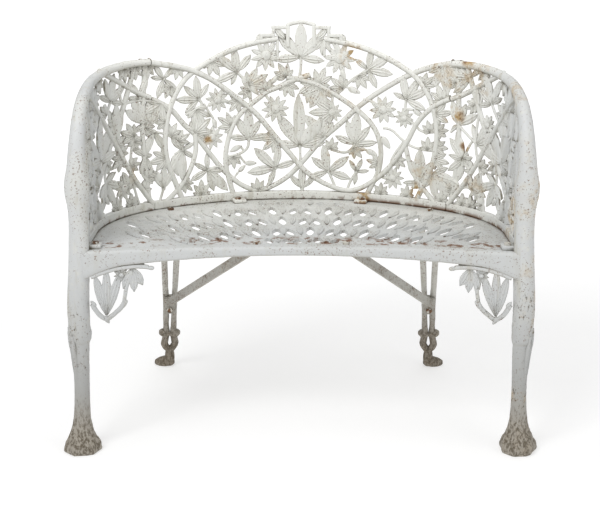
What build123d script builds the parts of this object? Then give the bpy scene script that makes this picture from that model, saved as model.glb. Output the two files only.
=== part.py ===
"""Half-round cast iron garden seat: pierced vine back in three castings, pierced seat, branch legs."""
import math
import os

from build123d import *

# Plan of the back wall, to its inner face; the front leg axes stand at y = 0 until the last move
SEAT_HALF_WIDTH = 436.0
BACK_DEPTH = 446.0
BACK_RADIUS = 552.0
SIDE_RADIUS = 256.0

# Heights: the seat above the floor, the rest above the seat
SEAT_HEIGHT = 444.0
RAIL_RISE = 20.0
HOOP_RISE = 389.0
LOBE_RISE = 348.0
CREST_RISE = 424.0
KNUCKLE_RISE = 135.0

# Thickness and width of the pierced walls
RAIL_THICK = 15.0
HOOP_THICK = 11.0
LEAF_INSET = 3.0
LEAF_THICK = 6.0
HOOP_WIDTH = 14.0
VINE_WIDTH = 11.0
TENDRIL_WIDTH = 7.0
BAND_STEP = 40.0
HOOP_MARGIN = 12.0
HOOP_TOP_RADIUS = 520.0
HOOP_SHOULDER_RADIUS = 186.0
HOOP_SIDE_RADIUS = 247.0

# Leaves and flowers of the openwork
LEAFLET_SLIM = 0.30
PETAL_REACH = 37.0
PETAL_ROOT = 0.45
PETALS = 9

# The walls that the ornament was drawn for: half width or run, and rise
DRAWN_CENTRE = (335.7, 411.0)
DRAWN_SIDE = (363.8, 367.0)

# Crest over the middle hoop: half widths of its arch and its step
CREST_ARCH = 36.0
CREST_STEP = 74.0
CREST_FOOT = 104.0
CREST_BAR = 9.0
CREST_SLANT = 13.0
CREST_EAVES = 12.0

# Seat plate and its front apron
PLATE_THICK = 8.0
APRON_THICK = 14.0
NOSE_SLOPE = 6.0
APRON_DROP = 18.0
APRON_SIDE_DROP = 31.0
APRON_END_DROP = 62.0
HAUNCH_LENGTH = 95.0
FRONT_HOLLOW = 45.0
FRONT_END_REACH = 20.0
SEAT_BORDER = 44.0
SLOT_LENGTH = 74.0
SLOT_WIDTH = 17.0
SLOT_HUB = 30.0
SLOT_BRIDGE = 14.0
SLOT_SPACING = 37.0
SLOT_RINGS = 4
FAN_SPACING = 178.0
FAN_COUNT = 5
FAN_START = 74.0

# Front legs and the arms that grow out of them
LEG_OFFSET = 20.0
LEG_RADIUS = 24.0
LEG_SWELL = 1.5
SHIN_RADIUS = 16.0
SHIN_TOP = 250.0
FOOT_RADIUS = 36.0
FOOT_HEIGHT = 38.0
KNUCKLE_RADIUS = 29.0
ARM_RADIUS = 8.0

# Rear legs, two stems each
STEM_RADIUS = 8.0
STEM_SPREAD = 38.0
LIMB_LAP = 0.35
LIMB_SIDES = 10
LEG_SIDES = 16
REAR_TOP_X = 300.0
REAR_INSET = 20.0
REAR_SPLAY = (30.0, 152.0)
KNOT_HEIGHT = 98.0
LOOP_HEIGHT = 68.0
REAR_PAD = (62.0, 30.0, 8.0)
REAR_FOOT_TURN = 20.0
REAR_FOOT_RADIUS = 17.0

# Flat stays between the rear legs and the front of the seat
STAY_WIDTH = 19.0
STAY_THICK = 8.0
STAY_RIDGE = 1.5
STAY_FRONT_X = 92.0
STAY_INSET = 28.0
STAY_HEIGHT = 190.0
STAY_PAD = 28.0
STAY_PAD_LENGTH = 46.0
BOSS = (34.0, 19.0, 46.0)

# Corner brackets under the apron
BRACKET_THICK = 8.0
BRACKET_INSET = 3.0
BRACKET_STRIP = 8.0
BRACKET_STEM = 9.0
BRACKET_REACH = 105.0
BRACKET_FLOWER = 22.0
BRACKET_LUG_X = 96.0
BRACKET_LUG_WIDTH = 22.0
BRACKET_LUG_THICK = 6.0

# Lugs, ears and fasteners
LUG_X = 148.0
LUG_WIDTH = 30.0
LUG_REACH = 26.0
LUG_BITE = 8.0
LUG_THICK = 8.0
CORNER_LUG_Y = 22.0
EAR_THICK = 8.0
EAR_REACH = 26.0
EAR_HEIGHT = 18.0
BOLT_RADIUS = 4.0
SHANK_SIDES = 12
BOLT_CLEAR = 0.4
HEAD_FLATS = 13.0
HEAD_HEIGHT = 4.5
NUT_FLATS = 13.0
NUT_HEIGHT = 6.5
BOLT_SPARE = 2.5
SCREW_DEPTH = 9.0

# Gaps between castings
JOINT_GAP = 0.6
FIT_GAP = 0.3

# Values worked out from the plan
side_x = SEAT_HALF_WIDTH - SIDE_RADIUS
back_y = BACK_DEPTH - BACK_RADIUS
centre_gap = BACK_RADIUS - SIDE_RADIUS
joint_angle = math.asin(side_x / centre_gap)
joint_x = BACK_RADIUS * math.sin(joint_angle)
side_y = back_y + centre_gap * math.cos(joint_angle)
side_arc = SIDE_RADIUS * (math.pi / 2 - joint_angle)
side_run = side_arc + side_y
pull_angle = (joint_angle + math.pi / 2) / 2
leg_x = SEAT_HALF_WIDTH + LEG_OFFSET
edge_x = SEAT_HALF_WIDTH + RAIL_THICK
plate_base = SEAT_HEIGHT - PLATE_THICK
knuckle_z = SEAT_HEIGHT + KNUCKLE_RISE
front_radius = (edge_x ** 2 + FRONT_HOLLOW ** 2) / (2 * FRONT_HOLLOW)
front_mid_y = FRONT_HOLLOW - FRONT_END_REACH
front_centre = (0.0, front_mid_y - front_radius)
wall_reach = CREST_RISE + HOOP_WIDTH
lug_y = back_y + math.sqrt(BACK_RADIUS ** 2 - LUG_X ** 2) - LUG_REACH / 2
rear_top_y = back_y + math.sqrt(BACK_RADIUS ** 2 - REAR_TOP_X ** 2) - REAR_INSET
leg_face = leg_x - LEG_RADIUS - LEG_SWELL - FIT_GAP
stay_bolt_y = front_mid_y + STAY_INSET
apron_back = front_radius + APRON_THICK
screw_x = leg_face - BRACKET_LUG_X
screw_rise = SEAT_HEIGHT - APRON_SIDE_DROP / 2 - 5


def polar(centre, radius, angle):
    """Point at an angle in degrees, anticlockwise from the first axis."""
    turn = math.radians(angle)
    return (centre[0] + radius * math.cos(turn), centre[1] + radius * math.sin(turn))


def on_wall(s, offset):
    """Plan point and outward direction at s along the right side wall from its joint."""
    turn = joint_angle + min(s, side_arc) / SIDE_RADIUS
    out = (math.sin(turn), math.cos(turn))
    ahead = max(s - side_arc, 0)
    reach = SIDE_RADIUS + offset
    return (side_x + reach * out[0], side_y + reach * out[1] - ahead), out


def drawn_centre(x, rise):
    """Place of a point of the middle ornament, seen from the front."""
    return (x * joint_x / DRAWN_CENTRE[0], SEAT_HEIGHT + rise * HOOP_RISE / DRAWN_CENTRE[1])


def drawn_side(s, rise):
    """Place of a point of the right side ornament on its slanted drawing plane."""
    along = s * side_run / DRAWN_SIDE[0]
    turn = joint_angle + min(along, side_arc) / SIDE_RADIUS - pull_angle
    ahead = max(along - side_arc, 0)
    place = SIDE_RADIUS * math.sin(turn) + ahead * math.sin(pull_angle)
    return (place, SEAT_HEIGHT + rise * LOBE_RISE / DRAWN_SIDE[1])


def sector(centre, inner, outer, start, end):
    """Flat ring sector between two angles in degrees."""
    middle = (start + end) / 2
    edges = [
        ThreePointArc(*[polar(centre, inner, angle) for angle in (start, middle, end)]),
        Line(polar(centre, inner, end), polar(centre, outer, end)),
        ThreePointArc(*[polar(centre, outer, angle) for angle in (end, middle, start)]),
        Line(polar(centre, outer, start), polar(centre, inner, start)),
    ]
    return make_face(edges)


def blade(base, angle, length, width):
    """Leaf outline of straight sides from a blunt base to a tip, widest past its middle."""
    root = polar(base, -width * 0.15, angle)
    waist = polar(base, length * 0.58, angle)
    tip = polar(base, length, angle)
    narrow, wide = width * 0.2, width * 0.5
    corners = [polar(root, narrow, angle + 90), polar(waist, wide, angle + 90), tip,
               polar(waist, wide, angle - 90), polar(root, narrow, angle - 90)]
    return make_face(Polyline(*corners, close=True))


def palmate_leaf(base, tip):
    """Five slim leaflets that fan out from one base."""
    length = math.dist(base, tip)
    heading = math.degrees(math.atan2(tip[1] - base[1], tip[0] - base[0]))
    fan = [(0, 1.0), (42, 0.9), (-42, 0.9), (84, 0.66), (-84, 0.66)]
    width = length * LEAFLET_SLIM
    blades = [blade(base, heading + turn, length * share, width * share) for turn, share in fan]
    return blades


def star_flower(centre, reach):
    """Star of pointed petals."""
    inner = reach * PETAL_ROOT
    spread = 180 / PETALS
    turns = [polar(centre, inner if turn % 2 else reach, turn * spread) for turn in range(2 * PETALS)]
    return [make_face(Polyline(*turns, close=True))]


def band(points, width):
    """Flat band of short straight lengths along a smooth line."""
    line = Spline(*points)
    count = max(2, round(line.length / BAND_STEP))
    shares = [index / count for index in range(count + 1)]
    middles = [(line @ share, line % share) for share in shares]
    edges = []
    for side in (width / 2, -width / 2):
        edges.append([(place.X - side * way.Y, place.Y + side * way.X) for place, way in middles])
    return make_face(Polyline(*edges[0], *reversed(edges[1]), close=True))


def both_sides(pieces):
    """The pieces and their mirror images across the middle line."""
    return pieces + [mirror(piece, about=Plane.YZ) for piece in pieces]


def one_drawing(pieces):
    """One flat drawing from many overlapping pieces."""
    return Sketch() + pieces


def shank_outline():
    """Many-sided outline of a bolt's shank."""
    return RegularPolygon(BOLT_RADIUS, SHANK_SIDES)


def headed_bolt(grip, spare):
    """Bolt with a six-sided head above z = 0; its shank passes the grip by the spare length."""
    head = extrude(RegularPolygon(HEAD_FLATS / 2, 6, major_radius=False), HEAD_HEIGHT)
    return head + extrude(shank_outline(), -grip - spare)


def through_bolt(grip):
    """Bolt long enough for a nut under the grip."""
    return headed_bolt(grip, NUT_HEIGHT + BOLT_SPARE)


def nut_under(grip):
    """Hexagon nut under the grip of a bolt."""
    profile = RegularPolygon(NUT_FLATS / 2, 6, major_radius=False) - shank_outline()
    return Pos(0, 0, -grip - NUT_HEIGHT) * extrude(profile, NUT_HEIGHT)


def bolt_hole(length):
    """Clearance hole round a bolt, centred on z = 0."""
    outline = RegularPolygon(BOLT_RADIUS + BOLT_CLEAR, SHANK_SIDES, major_radius=False)
    return extrude(outline, length / 2, both=True)


def centre_wall(inner, outer, height):
    """Curved wall of the middle casting between two distances from its inner face."""
    half = math.degrees(joint_angle - JOINT_GAP / 2 / BACK_RADIUS)
    plan = sector((0, back_y), BACK_RADIUS + inner, BACK_RADIUS + outer, 90 - half, 90 + half)
    return Pos(0, 0, SEAT_HEIGHT) * extrude(plan, height)


def side_wall(inner, outer, height):
    """Curved wall of the right side casting, from its joint to the front leg axis."""
    start = 90 - math.degrees(joint_angle + JOINT_GAP / 2 / SIDE_RADIUS)
    bend = sector((side_x, side_y), SIDE_RADIUS + inner, SIDE_RADIUS + outer, 0, start)
    width = outer - inner
    run = Pos(SEAT_HALF_WIDTH + inner + width / 2, side_y / 2) * Rectangle(width, side_y)
    return Pos(0, 0, SEAT_HEIGHT) * extrude(bend + run, height)


def middle_hoop():
    """The wide hoop of the middle casting, on tangent arcs that end in the rail."""
    half = HOOP_WIDTH / 2
    top_centre = (0, SEAT_HEIGHT + HOOP_RISE - half - HOOP_TOP_RADIUS)
    spread = joint_x - HOOP_MARGIN - HOOP_SHOULDER_RADIUS
    reach = HOOP_TOP_RADIUS - HOOP_SHOULDER_RADIUS
    turn = math.degrees(math.asin(spread / reach))
    shoulder = (spread, top_centre[1] + reach * math.cos(math.radians(turn)))
    side = (spread + HOOP_SHOULDER_RADIUS - HOOP_SIDE_RADIUS, shoulder[1])
    drop = math.degrees(math.asin((side[1] - SEAT_HEIGHT - RAIL_RISE / 2) / HOOP_SIDE_RADIUS))
    right = [polar(side, HOOP_SIDE_RADIUS, -drop * share) for share in (1, 0.75, 0.5, 0.25, 0)]
    right += [polar(shoulder, HOOP_SHOULDER_RADIUS, (90 - turn) * share) for share in (0.35, 0.7)]
    right += [polar(top_centre, HOOP_TOP_RADIUS, 90 - turn * share) for share in (1, 0.5)]
    left = [(-x, z) for x, z in reversed(right)]
    return [band(right + [(0, top_centre[1] + HOOP_TOP_RADIUS)] + left, HOOP_WIDTH)]


def side_points(points, side):
    """Points of the middle ornament on its right side (1) or its left side (-1)."""
    return [drawn_centre(side * x, rise) for x, rise in points]


def middle_vines():
    """Crossing vines inside the middle hoop."""
    lines = [
        [(-352, 361), (-300, 350), (-210, 302), (-133, 239), (-67, 166), (3, 77), (48, 40), (99, 23),
         (150, 36), (197, 82), (244, 148), (290, 208), (352, 286)],
        [(-54, 360), (5, 305), (72, 269), (139, 224), (178, 180), (191, 123), (184, 68)],
        [(205, 113), (222, 68), (262, 34), (310, 15)],
    ]
    return [band(side_points(line, side), VINE_WIDTH) for line in lines for side in (1, -1)]


def crest():
    """Stepped crest over the middle hoop."""
    rim = SEAT_HEIGHT + HOOP_RISE
    foot = rim - HOOP_WIDTH
    top = SEAT_HEIGHT + CREST_RISE
    eaves = top - CREST_EAVES
    inner_eaves = eaves - CREST_BAR / 3
    step = (rim + eaves) / 2
    inside = CREST_ARCH - CREST_BAR
    crown = top - CREST_BAR
    arch = [
        Line((0, top), (CREST_ARCH * 0.55, top - CREST_BAR / 3)),
        Line((CREST_ARCH * 0.55, top - CREST_BAR / 3), (CREST_ARCH, eaves)),
        Line((CREST_ARCH, eaves), (CREST_ARCH, foot)),
        Line((CREST_ARCH, foot), (inside, foot)),
        Line((inside, foot), (inside, inner_eaves)),
        Line((inside, inner_eaves), (inside * 0.55, crown - 1)),
        Line((inside * 0.55, crown - 1), (0, crown)),
        Line((0, crown), (0, top)),
    ]
    root = CREST_ARCH - CREST_BAR / 4
    bend = CREST_STEP - CREST_SLANT
    shelf = Polyline((root, step - CREST_BAR), (bend, step - CREST_BAR), (bend - CREST_SLANT, foot),
                     (bend, foot), (CREST_STEP, step), (root, step), close=True)
    tab = Polyline((bend, foot), (bend, rim + 1), (CREST_FOOT, rim + 3), (CREST_FOOT - 3, foot - 6),
                   close=True)
    return both_sides([make_face(arch), make_face(shelf), make_face(tab)])


def middle_foliage():
    """Leaves, flowers and tendrils of the middle casting."""
    leaves = [((130, 142), (131, 230)), ((72, 80), (96, 148)), ((160, 330), (196, 368)),
              ((250, 258), (212, 310)), ((290, 166), (276, 88)), ((120, 288), (70, 310))]
    flowers = [(94, 363), (198, 252), (66, 218), (232, 172)]
    stems = [
        [(0, 358), (-6, 330), (0, 303)], [(0, 128), (4, 98), (0, 80)],
        [(130, 142), (150, 108), (178, 68)], [(72, 80), (60, 58), (64, 36)],
        [(160, 330), (186, 308), (196, 290)], [(250, 258), (280, 248), (312, 258)],
        [(290, 166), (300, 190), (318, 208)], [(120, 288), (150, 270), (160, 208)],
        [(94, 363), (110, 338), (100, 258)], [(232, 172), (262, 178), (322, 168)],
    ]
    pieces = palmate_leaf(drawn_centre(0, 360), drawn_centre(0, 443))
    pieces += palmate_leaf(drawn_centre(0, 134), drawn_centre(0, 258))
    for side in (1, -1):
        for leaf in leaves:
            pieces += palmate_leaf(*side_points(leaf, side))
        for centre in side_points(flowers, side):
            pieces += star_flower(centre, PETAL_REACH)
        pieces += [band(side_points(stem, side), TENDRIL_WIDTH) for stem in stems]
    return pieces


def side_vines():
    """Vines of the right side casting, on its slanted drawing plane."""
    lines = [
        [(-16, 262), (30, 286), (90, 324), (160, 352)],
        [(8, 12), (56, 90), (106, 178), (168, 258), (236, 314), (286, 318)],
        [(34, 364), (66, 268), (126, 168), (196, 88), (276, 30), (326, 10)],
        [(222, 10), (234, 88), (230, 168), (248, 248), (282, 316)],
        [(352, 10), (326, 88), (316, 168), (328, 240), (352, 276)],
        [(8, 10), (22, 120), (22, 250), (8, 366)],
    ]
    return [band([drawn_side(*point) for point in line], VINE_WIDTH) for line in lines]


def side_foliage():
    """Leaves, flowers and tendrils of the right side casting."""
    leaves = [((66, 140), (50, 232)), ((150, 96), (120, 40)), ((172, 150), (176, 244)),
              ((276, 120), (276, 210)), ((112, 278), (100, 336)), ((296, 226), (306, 288))]
    flowers = [(192, 290), (84, 70), (270, 66)]
    stems = [
        [(66, 140), (84, 134), (92, 150)], [(172, 150), (180, 128), (176, 104)],
        [(276, 120), (296, 110), (324, 108)], [(112, 278), (126, 262), (150, 240)],
        [(150, 96), (160, 112), (158, 132)], [(296, 226), (284, 240), (250, 256)],
        [(276, 110), (264, 50), (236, 60)],
    ]
    pieces = []
    for base, tip in leaves:
        pieces += palmate_leaf(drawn_side(*base), drawn_side(*tip))
    for centre in flowers:
        pieces += star_flower(drawn_side(*centre), PETAL_REACH)
    return pieces + [band([drawn_side(*point) for point in stem], TENDRIL_WIDTH) for stem in stems]


def pierced_wall(wall, rims, vines, foliage, plane, pull):
    """Cast openwork cut to the curve of a wall: rims at full depth, vines and foliage thinner and set in."""
    depth = BACK_DEPTH + SIDE_RADIUS
    thin = extrude(plane * one_drawing(vines + foliage), depth, dir=pull)
    openwork = thin & wall(LEAF_INSET, LEAF_INSET + LEAF_THICK, wall_reach)
    openwork += wall(0, RAIL_THICK, RAIL_RISE)
    if rims:
        openwork += extrude(plane * one_drawing(rims), depth, dir=pull) & wall(0, HOOP_THICK, wall_reach)
    return openwork


ear_rises = (EAR_HEIGHT / 2 + 1, LOBE_RISE - EAR_HEIGHT / 2)


def at_joint(rise):
    """Frame behind the right joint: x along the wall, y outwards, z up, origin at the bolt."""
    reach = SIDE_RADIUS + HOOP_THICK + EAR_REACH / 2
    axis = Pos(side_x, side_y, SEAT_HEIGHT + rise) * Rot(0, 0, -math.degrees(joint_angle))
    return axis * Pos(0, reach, 0)


def ear(towards, rise):
    """Bolting ear behind the right joint, on its middle side (-1) or its arm side (1)."""
    shift = towards * (JOINT_GAP + EAR_THICK) / 2
    block = Pos(shift, -LUG_BITE / 2, 0) * Box(EAR_THICK, EAR_REACH + LUG_BITE, EAR_HEIGHT)
    return at_joint(rise) * (block - Rot(0, 90, 0) * bolt_hole(4 * EAR_THICK))


def seat_lug(x, y, turn):
    """Flat lug on the seat round a bolt hole; turn points its root at the casting it grows from."""
    length = LUG_REACH + LUG_BITE
    block = Pos(0, LUG_BITE / 2, LUG_THICK / 2) * Box(LUG_WIDTH, length, LUG_THICK)
    return Pos(x, y, SEAT_HEIGHT) * Rot(0, 0, turn) * (block - bolt_hole(4 * LUG_THICK))


def make_back_panel():
    """Middle casting of the back."""
    rims = middle_hoop() + crest()
    panel = pierced_wall(centre_wall, rims, middle_vines(), middle_foliage(), Plane.XZ, (0, 1, 0))
    lug = seat_lug(LUG_X, lug_y, -math.degrees(math.asin(LUG_X / BACK_RADIUS)))
    return panel + both_sides([lug] + [ear(-1, rise) for rise in ear_rises])


def limb(stations):
    """Branch of tapered many-sided lengths, each run a little past the next; a station is a point and a radius."""
    lengths = []
    for (start, start_radius), (end, end_radius) in zip(stations, stations[1:]):
        heading = Vector(*end) - Vector(*start)
        lap = min(start_radius, end_radius) * LIMB_LAP
        reach = heading.length + 2 * lap
        begin = Vector(*start) - heading.normalized() * lap
        outline = RegularPolygon(start_radius, LIMB_SIDES)
        taper = math.degrees(math.atan((start_radius - end_radius) / reach))
        lengths.append(Plane(begin, z_dir=heading).location * extrude(outline, reach, taper=taper))
    return lengths


def make_arm():
    """Branch that runs from the knuckle up and back along the rim, thinning to the joint."""
    stations = [
        (JOINT_GAP / 2, LOBE_RISE, 0.0, 0.0), (75, LOBE_RISE + 1, 0.0, 0.7), (165, LOBE_RISE - 14, 1.0, 2.0),
        (250, LOBE_RISE - 36, 2.5, 4.0), (312, LOBE_RISE - 67, 5.0, 6.5), (346, LOBE_RISE - 116, 8.0, 9.0),
        (DRAWN_SIDE[0], KNUCKLE_RISE + 8, LEG_OFFSET - HOOP_THICK / 2, LEG_RADIUS - ARM_RADIUS),
    ]
    line = []
    for s, rise, shift, swell in stations:
        (x, y), _ = on_wall(s * side_run / DRAWN_SIDE[0], HOOP_THICK / 2 + shift)
        line.append(((x, y, SEAT_HEIGHT + rise), ARM_RADIUS + swell))
    (x, y), _ = on_wall(0, 0)
    joint = Pos(x, y, SEAT_HEIGHT + LOBE_RISE) * Rot(0, 0, -math.degrees(joint_angle))
    beyond = joint * Pos(JOINT_GAP / 2 - BACK_DEPTH / 2, 0, 0) * Box(BACK_DEPTH, BACK_DEPTH, BACK_DEPTH / 2)
    arm = limb(line)
    return arm[0] + arm[1:] - beyond


def make_front_leg():
    """Many-sided branch leg with its foot, shin, swelling and knuckle."""
    swell_z = (SHIN_TOP + SEAT_HEIGHT) / 2
    rounds = [
        (FOOT_RADIUS - 5, 0), (FOOT_RADIUS, FOOT_HEIGHT * 0.3), (FOOT_RADIUS - 7, FOOT_HEIGHT * 0.8),
        (SHIN_RADIUS + 4, FOOT_HEIGHT * 1.25), (SHIN_RADIUS, FOOT_HEIGHT * 2), (SHIN_RADIUS, SHIN_TOP),
        (LEG_RADIUS - 1, SHIN_TOP + 7), (LEG_RADIUS + LEG_SWELL, swell_z), (LEG_RADIUS, SEAT_HEIGHT),
        (LEG_RADIUS + 1, knuckle_z - KNUCKLE_RADIUS), (KNUCKLE_RADIUS, knuckle_z),
        (LEG_RADIUS, knuckle_z + KNUCKLE_RADIUS * 0.6), (LEG_RADIUS / 2, knuckle_z + KNUCKLE_RADIUS * 0.9),
    ]
    outlines = [Pos(leg_x, 0, z) * RegularPolygon(radius, LEG_SIDES) for radius, z in rounds]
    return loft(outlines, ruled=True)


def make_side_frame():
    """Right side casting: pierced side wall, arm branch, front leg, seat lug and joint ears."""
    plane = Plane((side_x, side_y, 0), x_dir=(math.cos(pull_angle), -math.sin(pull_angle), 0),
                  z_dir=(-math.sin(pull_angle), -math.cos(pull_angle), 0))
    pull = (math.sin(pull_angle), math.cos(pull_angle), 0)
    frame = pierced_wall(side_wall, [], side_vines(), side_foliage(), plane, pull)
    lug = seat_lug(SEAT_HALF_WIDTH - LUG_REACH / 2, CORNER_LUG_Y, -90)
    return frame + [make_arm(), make_front_leg(), lug] + [ear(1, rise) for rise in ear_rises]


def seat_outline(inset, front_inset):
    """Half-moon plan of the seat, drawn in from its round edge and from its hollow front."""
    x = edge_x - inset
    side = SIDE_RADIUS + RAIL_THICK - inset
    back = BACK_RADIUS + RAIL_THICK - inset
    front = front_radius + front_inset
    turn = 90 - math.degrees(joint_angle)
    corner_y = front_centre[1] + math.sqrt(front ** 2 - x ** 2)
    front_mid = (0, front_centre[1] + front)
    front_half = polar(front_centre, front, 90 - math.degrees(x / front) / 2)
    half = [
        Line((x, corner_y), (x, side_y)),
        ThreePointArc(*[polar((side_x, side_y), side, angle) for angle in (0, turn / 2, turn)]),
        ThreePointArc(*[polar((0, back_y), back, angle) for angle in (turn, (turn + 90) / 2, 90)]),
        Line((0, back_y + back), front_mid),
        ThreePointArc(front_mid, front_half, (x, corner_y)),
    ]
    return one_drawing(both_sides([make_face(half)]))


def fan_cell(index):
    """Strip of the seat, from front to back, that holds one fan of slots."""
    left = (index - FAN_COUNT / 2) * FAN_SPACING + SLOT_BRIDGE / 2
    right = left + FAN_SPACING - SLOT_BRIDGE
    left = -edge_x if index == 0 else left
    right = edge_x if index == FAN_COUNT - 1 else right
    return Pos((left + right) / 2, 0) * Rectangle(right - left, 4 * BACK_DEPTH)


def seat_slots():
    """Fans of leaf-shaped slots round hubs along the front of the seat."""
    field = seat_outline(SEAT_BORDER, SEAT_BORDER)
    slots = []
    for index in range(FAN_COUNT):
        hub = ((index - (FAN_COUNT - 1) / 2) * FAN_SPACING, FAN_START)
        room = field & fan_cell(index)
        for ring in range(SLOT_RINGS):
            start = SLOT_HUB + ring * (SLOT_LENGTH + SLOT_BRIDGE)
            gaps = round(math.pi * (start + SLOT_LENGTH / 2) / SLOT_SPACING)
            for turn in range(gaps + 1):
                angle = 180 * turn / gaps
                slot = blade(polar(hub, start, angle), angle, SLOT_LENGTH, SLOT_WIDTH)
                if abs((slot & room).area - slot.area) < 1:
                    slots.append(slot)
    return slots


def apron_elevation(grow):
    """Front view of the apron, grown downwards by a gap."""
    end_z = SEAT_HEIGHT - APRON_END_DROP - grow
    haunch = (edge_x - HAUNCH_LENGTH, SEAT_HEIGHT - APRON_SIDE_DROP - grow)
    bow = ((haunch[0] + edge_x) / 2, (haunch[1] * 2 + end_z) / 3)
    half = [
        Line((0, SEAT_HEIGHT), (edge_x, SEAT_HEIGHT)),
        Line((edge_x, SEAT_HEIGHT), (edge_x, end_z)),
        ThreePointArc((edge_x, end_z), bow, haunch),
        ThreePointArc(haunch, (haunch[0] / 2, haunch[1] * 0.3 + (SEAT_HEIGHT - APRON_DROP - grow) * 0.7),
                      (0, SEAT_HEIGHT - APRON_DROP - grow)),
        Line((0, SEAT_HEIGHT - APRON_DROP - grow), (0, SEAT_HEIGHT)),
    ]
    return one_drawing(both_sides([make_face(half)]))


def face_cut(drawing):
    """A front view drawing, drawn out through the whole depth of the front."""
    return extrude(Plane.XZ * drawing, BACK_DEPTH, both=True)


def apron_strip():
    """Turned length of the apron along the hollow front, with its sloped top edge."""
    base = SEAT_HEIGHT - 2 * APRON_END_DROP
    shoulder = SEAT_HEIGHT - NOSE_SLOPE
    nose = front_radius + NOSE_SLOPE
    outline = [
        Line((front_radius, base), (front_radius, shoulder)),
        Line((front_radius, shoulder), (nose, SEAT_HEIGHT)),
        Line((nose, SEAT_HEIGHT), (apron_back, SEAT_HEIGHT)),
        Line((apron_back, SEAT_HEIGHT), (apron_back, base)),
        Line((apron_back, base), (front_radius, base)),
    ]
    half = math.degrees(math.asin(edge_x / front_radius))
    turned = revolve(Plane.XZ * make_face(outline), Axis.Z, 2 * half)
    return Pos(*front_centre) * Rot(0, 0, 90 - half) * turned


def make_seat_plate(seat_bolts, screw_hole):
    """Pierced half-moon plate with its hollow front apron, notched round the front legs."""
    plate = Pos(0, 0, plate_base) * extrude(seat_outline(0, NOSE_SLOPE), PLATE_THICK)
    plate -= Pos(0, 0, plate_base - PLATE_THICK) * extrude(one_drawing(seat_slots()), 3 * PLATE_THICK)
    seat = plate + (apron_strip() & face_cut(apron_elevation(0)))
    notch = Pos(leg_x, 0, SEAT_HEIGHT) * Cylinder(LEG_RADIUS + LEG_SWELL + FIT_GAP, 4 * APRON_END_DROP)
    holes = [place * bolt_hole(8 * PLATE_THICK) for place in seat_bolts]
    return seat - both_sides([notch, screw_hole] + holes)


def knob(centre, radius):
    """Small many-sided knob, drawn in at its top and its bottom."""
    x, y, z = centre
    rounds = [(-1.0, 0.6), (-0.4, 1.0), (0.4, 1.0), (1.0, 0.6)]
    return limb([((x, y, z + radius * rise), radius * share) for rise, share in rounds])


def rear_axis(height):
    """Middle line of the right rear leg at a height."""
    share = 1 - height / plate_base
    return (REAR_TOP_X + REAR_SPLAY[0] * share, rear_top_y + REAR_SPLAY[1] * share, height)


def make_rear_leg():
    """Right rear leg: two stems from a pad, a boss for the stay, a knot, a twisted loop and a turned foot."""
    pad_z = plate_base - REAR_PAD[2]
    top = rear_axis(pad_z + 1)
    boss = rear_axis(STAY_HEIGHT)
    knot = rear_axis(KNOT_HEIGHT)
    loop = rear_axis(LOOP_HEIGHT)
    ankle = rear_axis(LOOP_HEIGHT / 2)
    heel = (ankle[0], ankle[1] + 4, REAR_FOOT_RADIUS * 0.7)
    toe = (ankle[0] + REAR_FOOT_TURN, ankle[1] + 6, REAR_FOOT_RADIUS * 0.5)
    pieces = [Pos(top[0], top[1], pad_z + REAR_PAD[2] / 2) * Box(*REAR_PAD), stay_seat * Box(*BOSS)]
    for side in (-1, 1):
        line = [
            ((top[0] + side * STEM_SPREAD / 2, top[1], top[2]), STEM_RADIUS),
            ((boss[0] + side * STEM_RADIUS * 1.1, boss[1], boss[2]), STEM_RADIUS - 0.5),
            ((knot[0] + side * STEM_RADIUS, knot[1], knot[2]), STEM_RADIUS + 0.5),
            ((loop[0] + side * STEM_RADIUS * 1.6, loop[1] - side * 3, loop[2]), STEM_RADIUS),
            ((ankle[0] - side * 2, ankle[1] + side * 3, ankle[2]), STEM_RADIUS + 1),
            (heel, STEM_RADIUS + 2),
        ]
        pieces += limb(line)
        pieces += knob((knot[0] + side * STEM_RADIUS * 2.2, knot[1], knot[2]), STEM_RADIUS * 0.9)
    tip = (toe[0] + REAR_FOOT_RADIUS * 0.8, toe[1] + 2, toe[2])
    pieces += limb([(heel, REAR_FOOT_RADIUS), (toe, REAR_FOOT_RADIUS * 0.85), (tip, REAR_FOOT_RADIUS * 0.5)])
    ground = Pos(heel[0], heel[1], -5 * REAR_FOOT_RADIUS) * Box(*[10 * REAR_FOOT_RADIUS] * 3)
    holes = [rear_leg_bolt * bolt_hole(8 * PLATE_THICK), stay_rear_bolt * bolt_hole(4 * BOSS[1])]
    return pieces[0] + pieces[1:] - [ground] - holes


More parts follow.
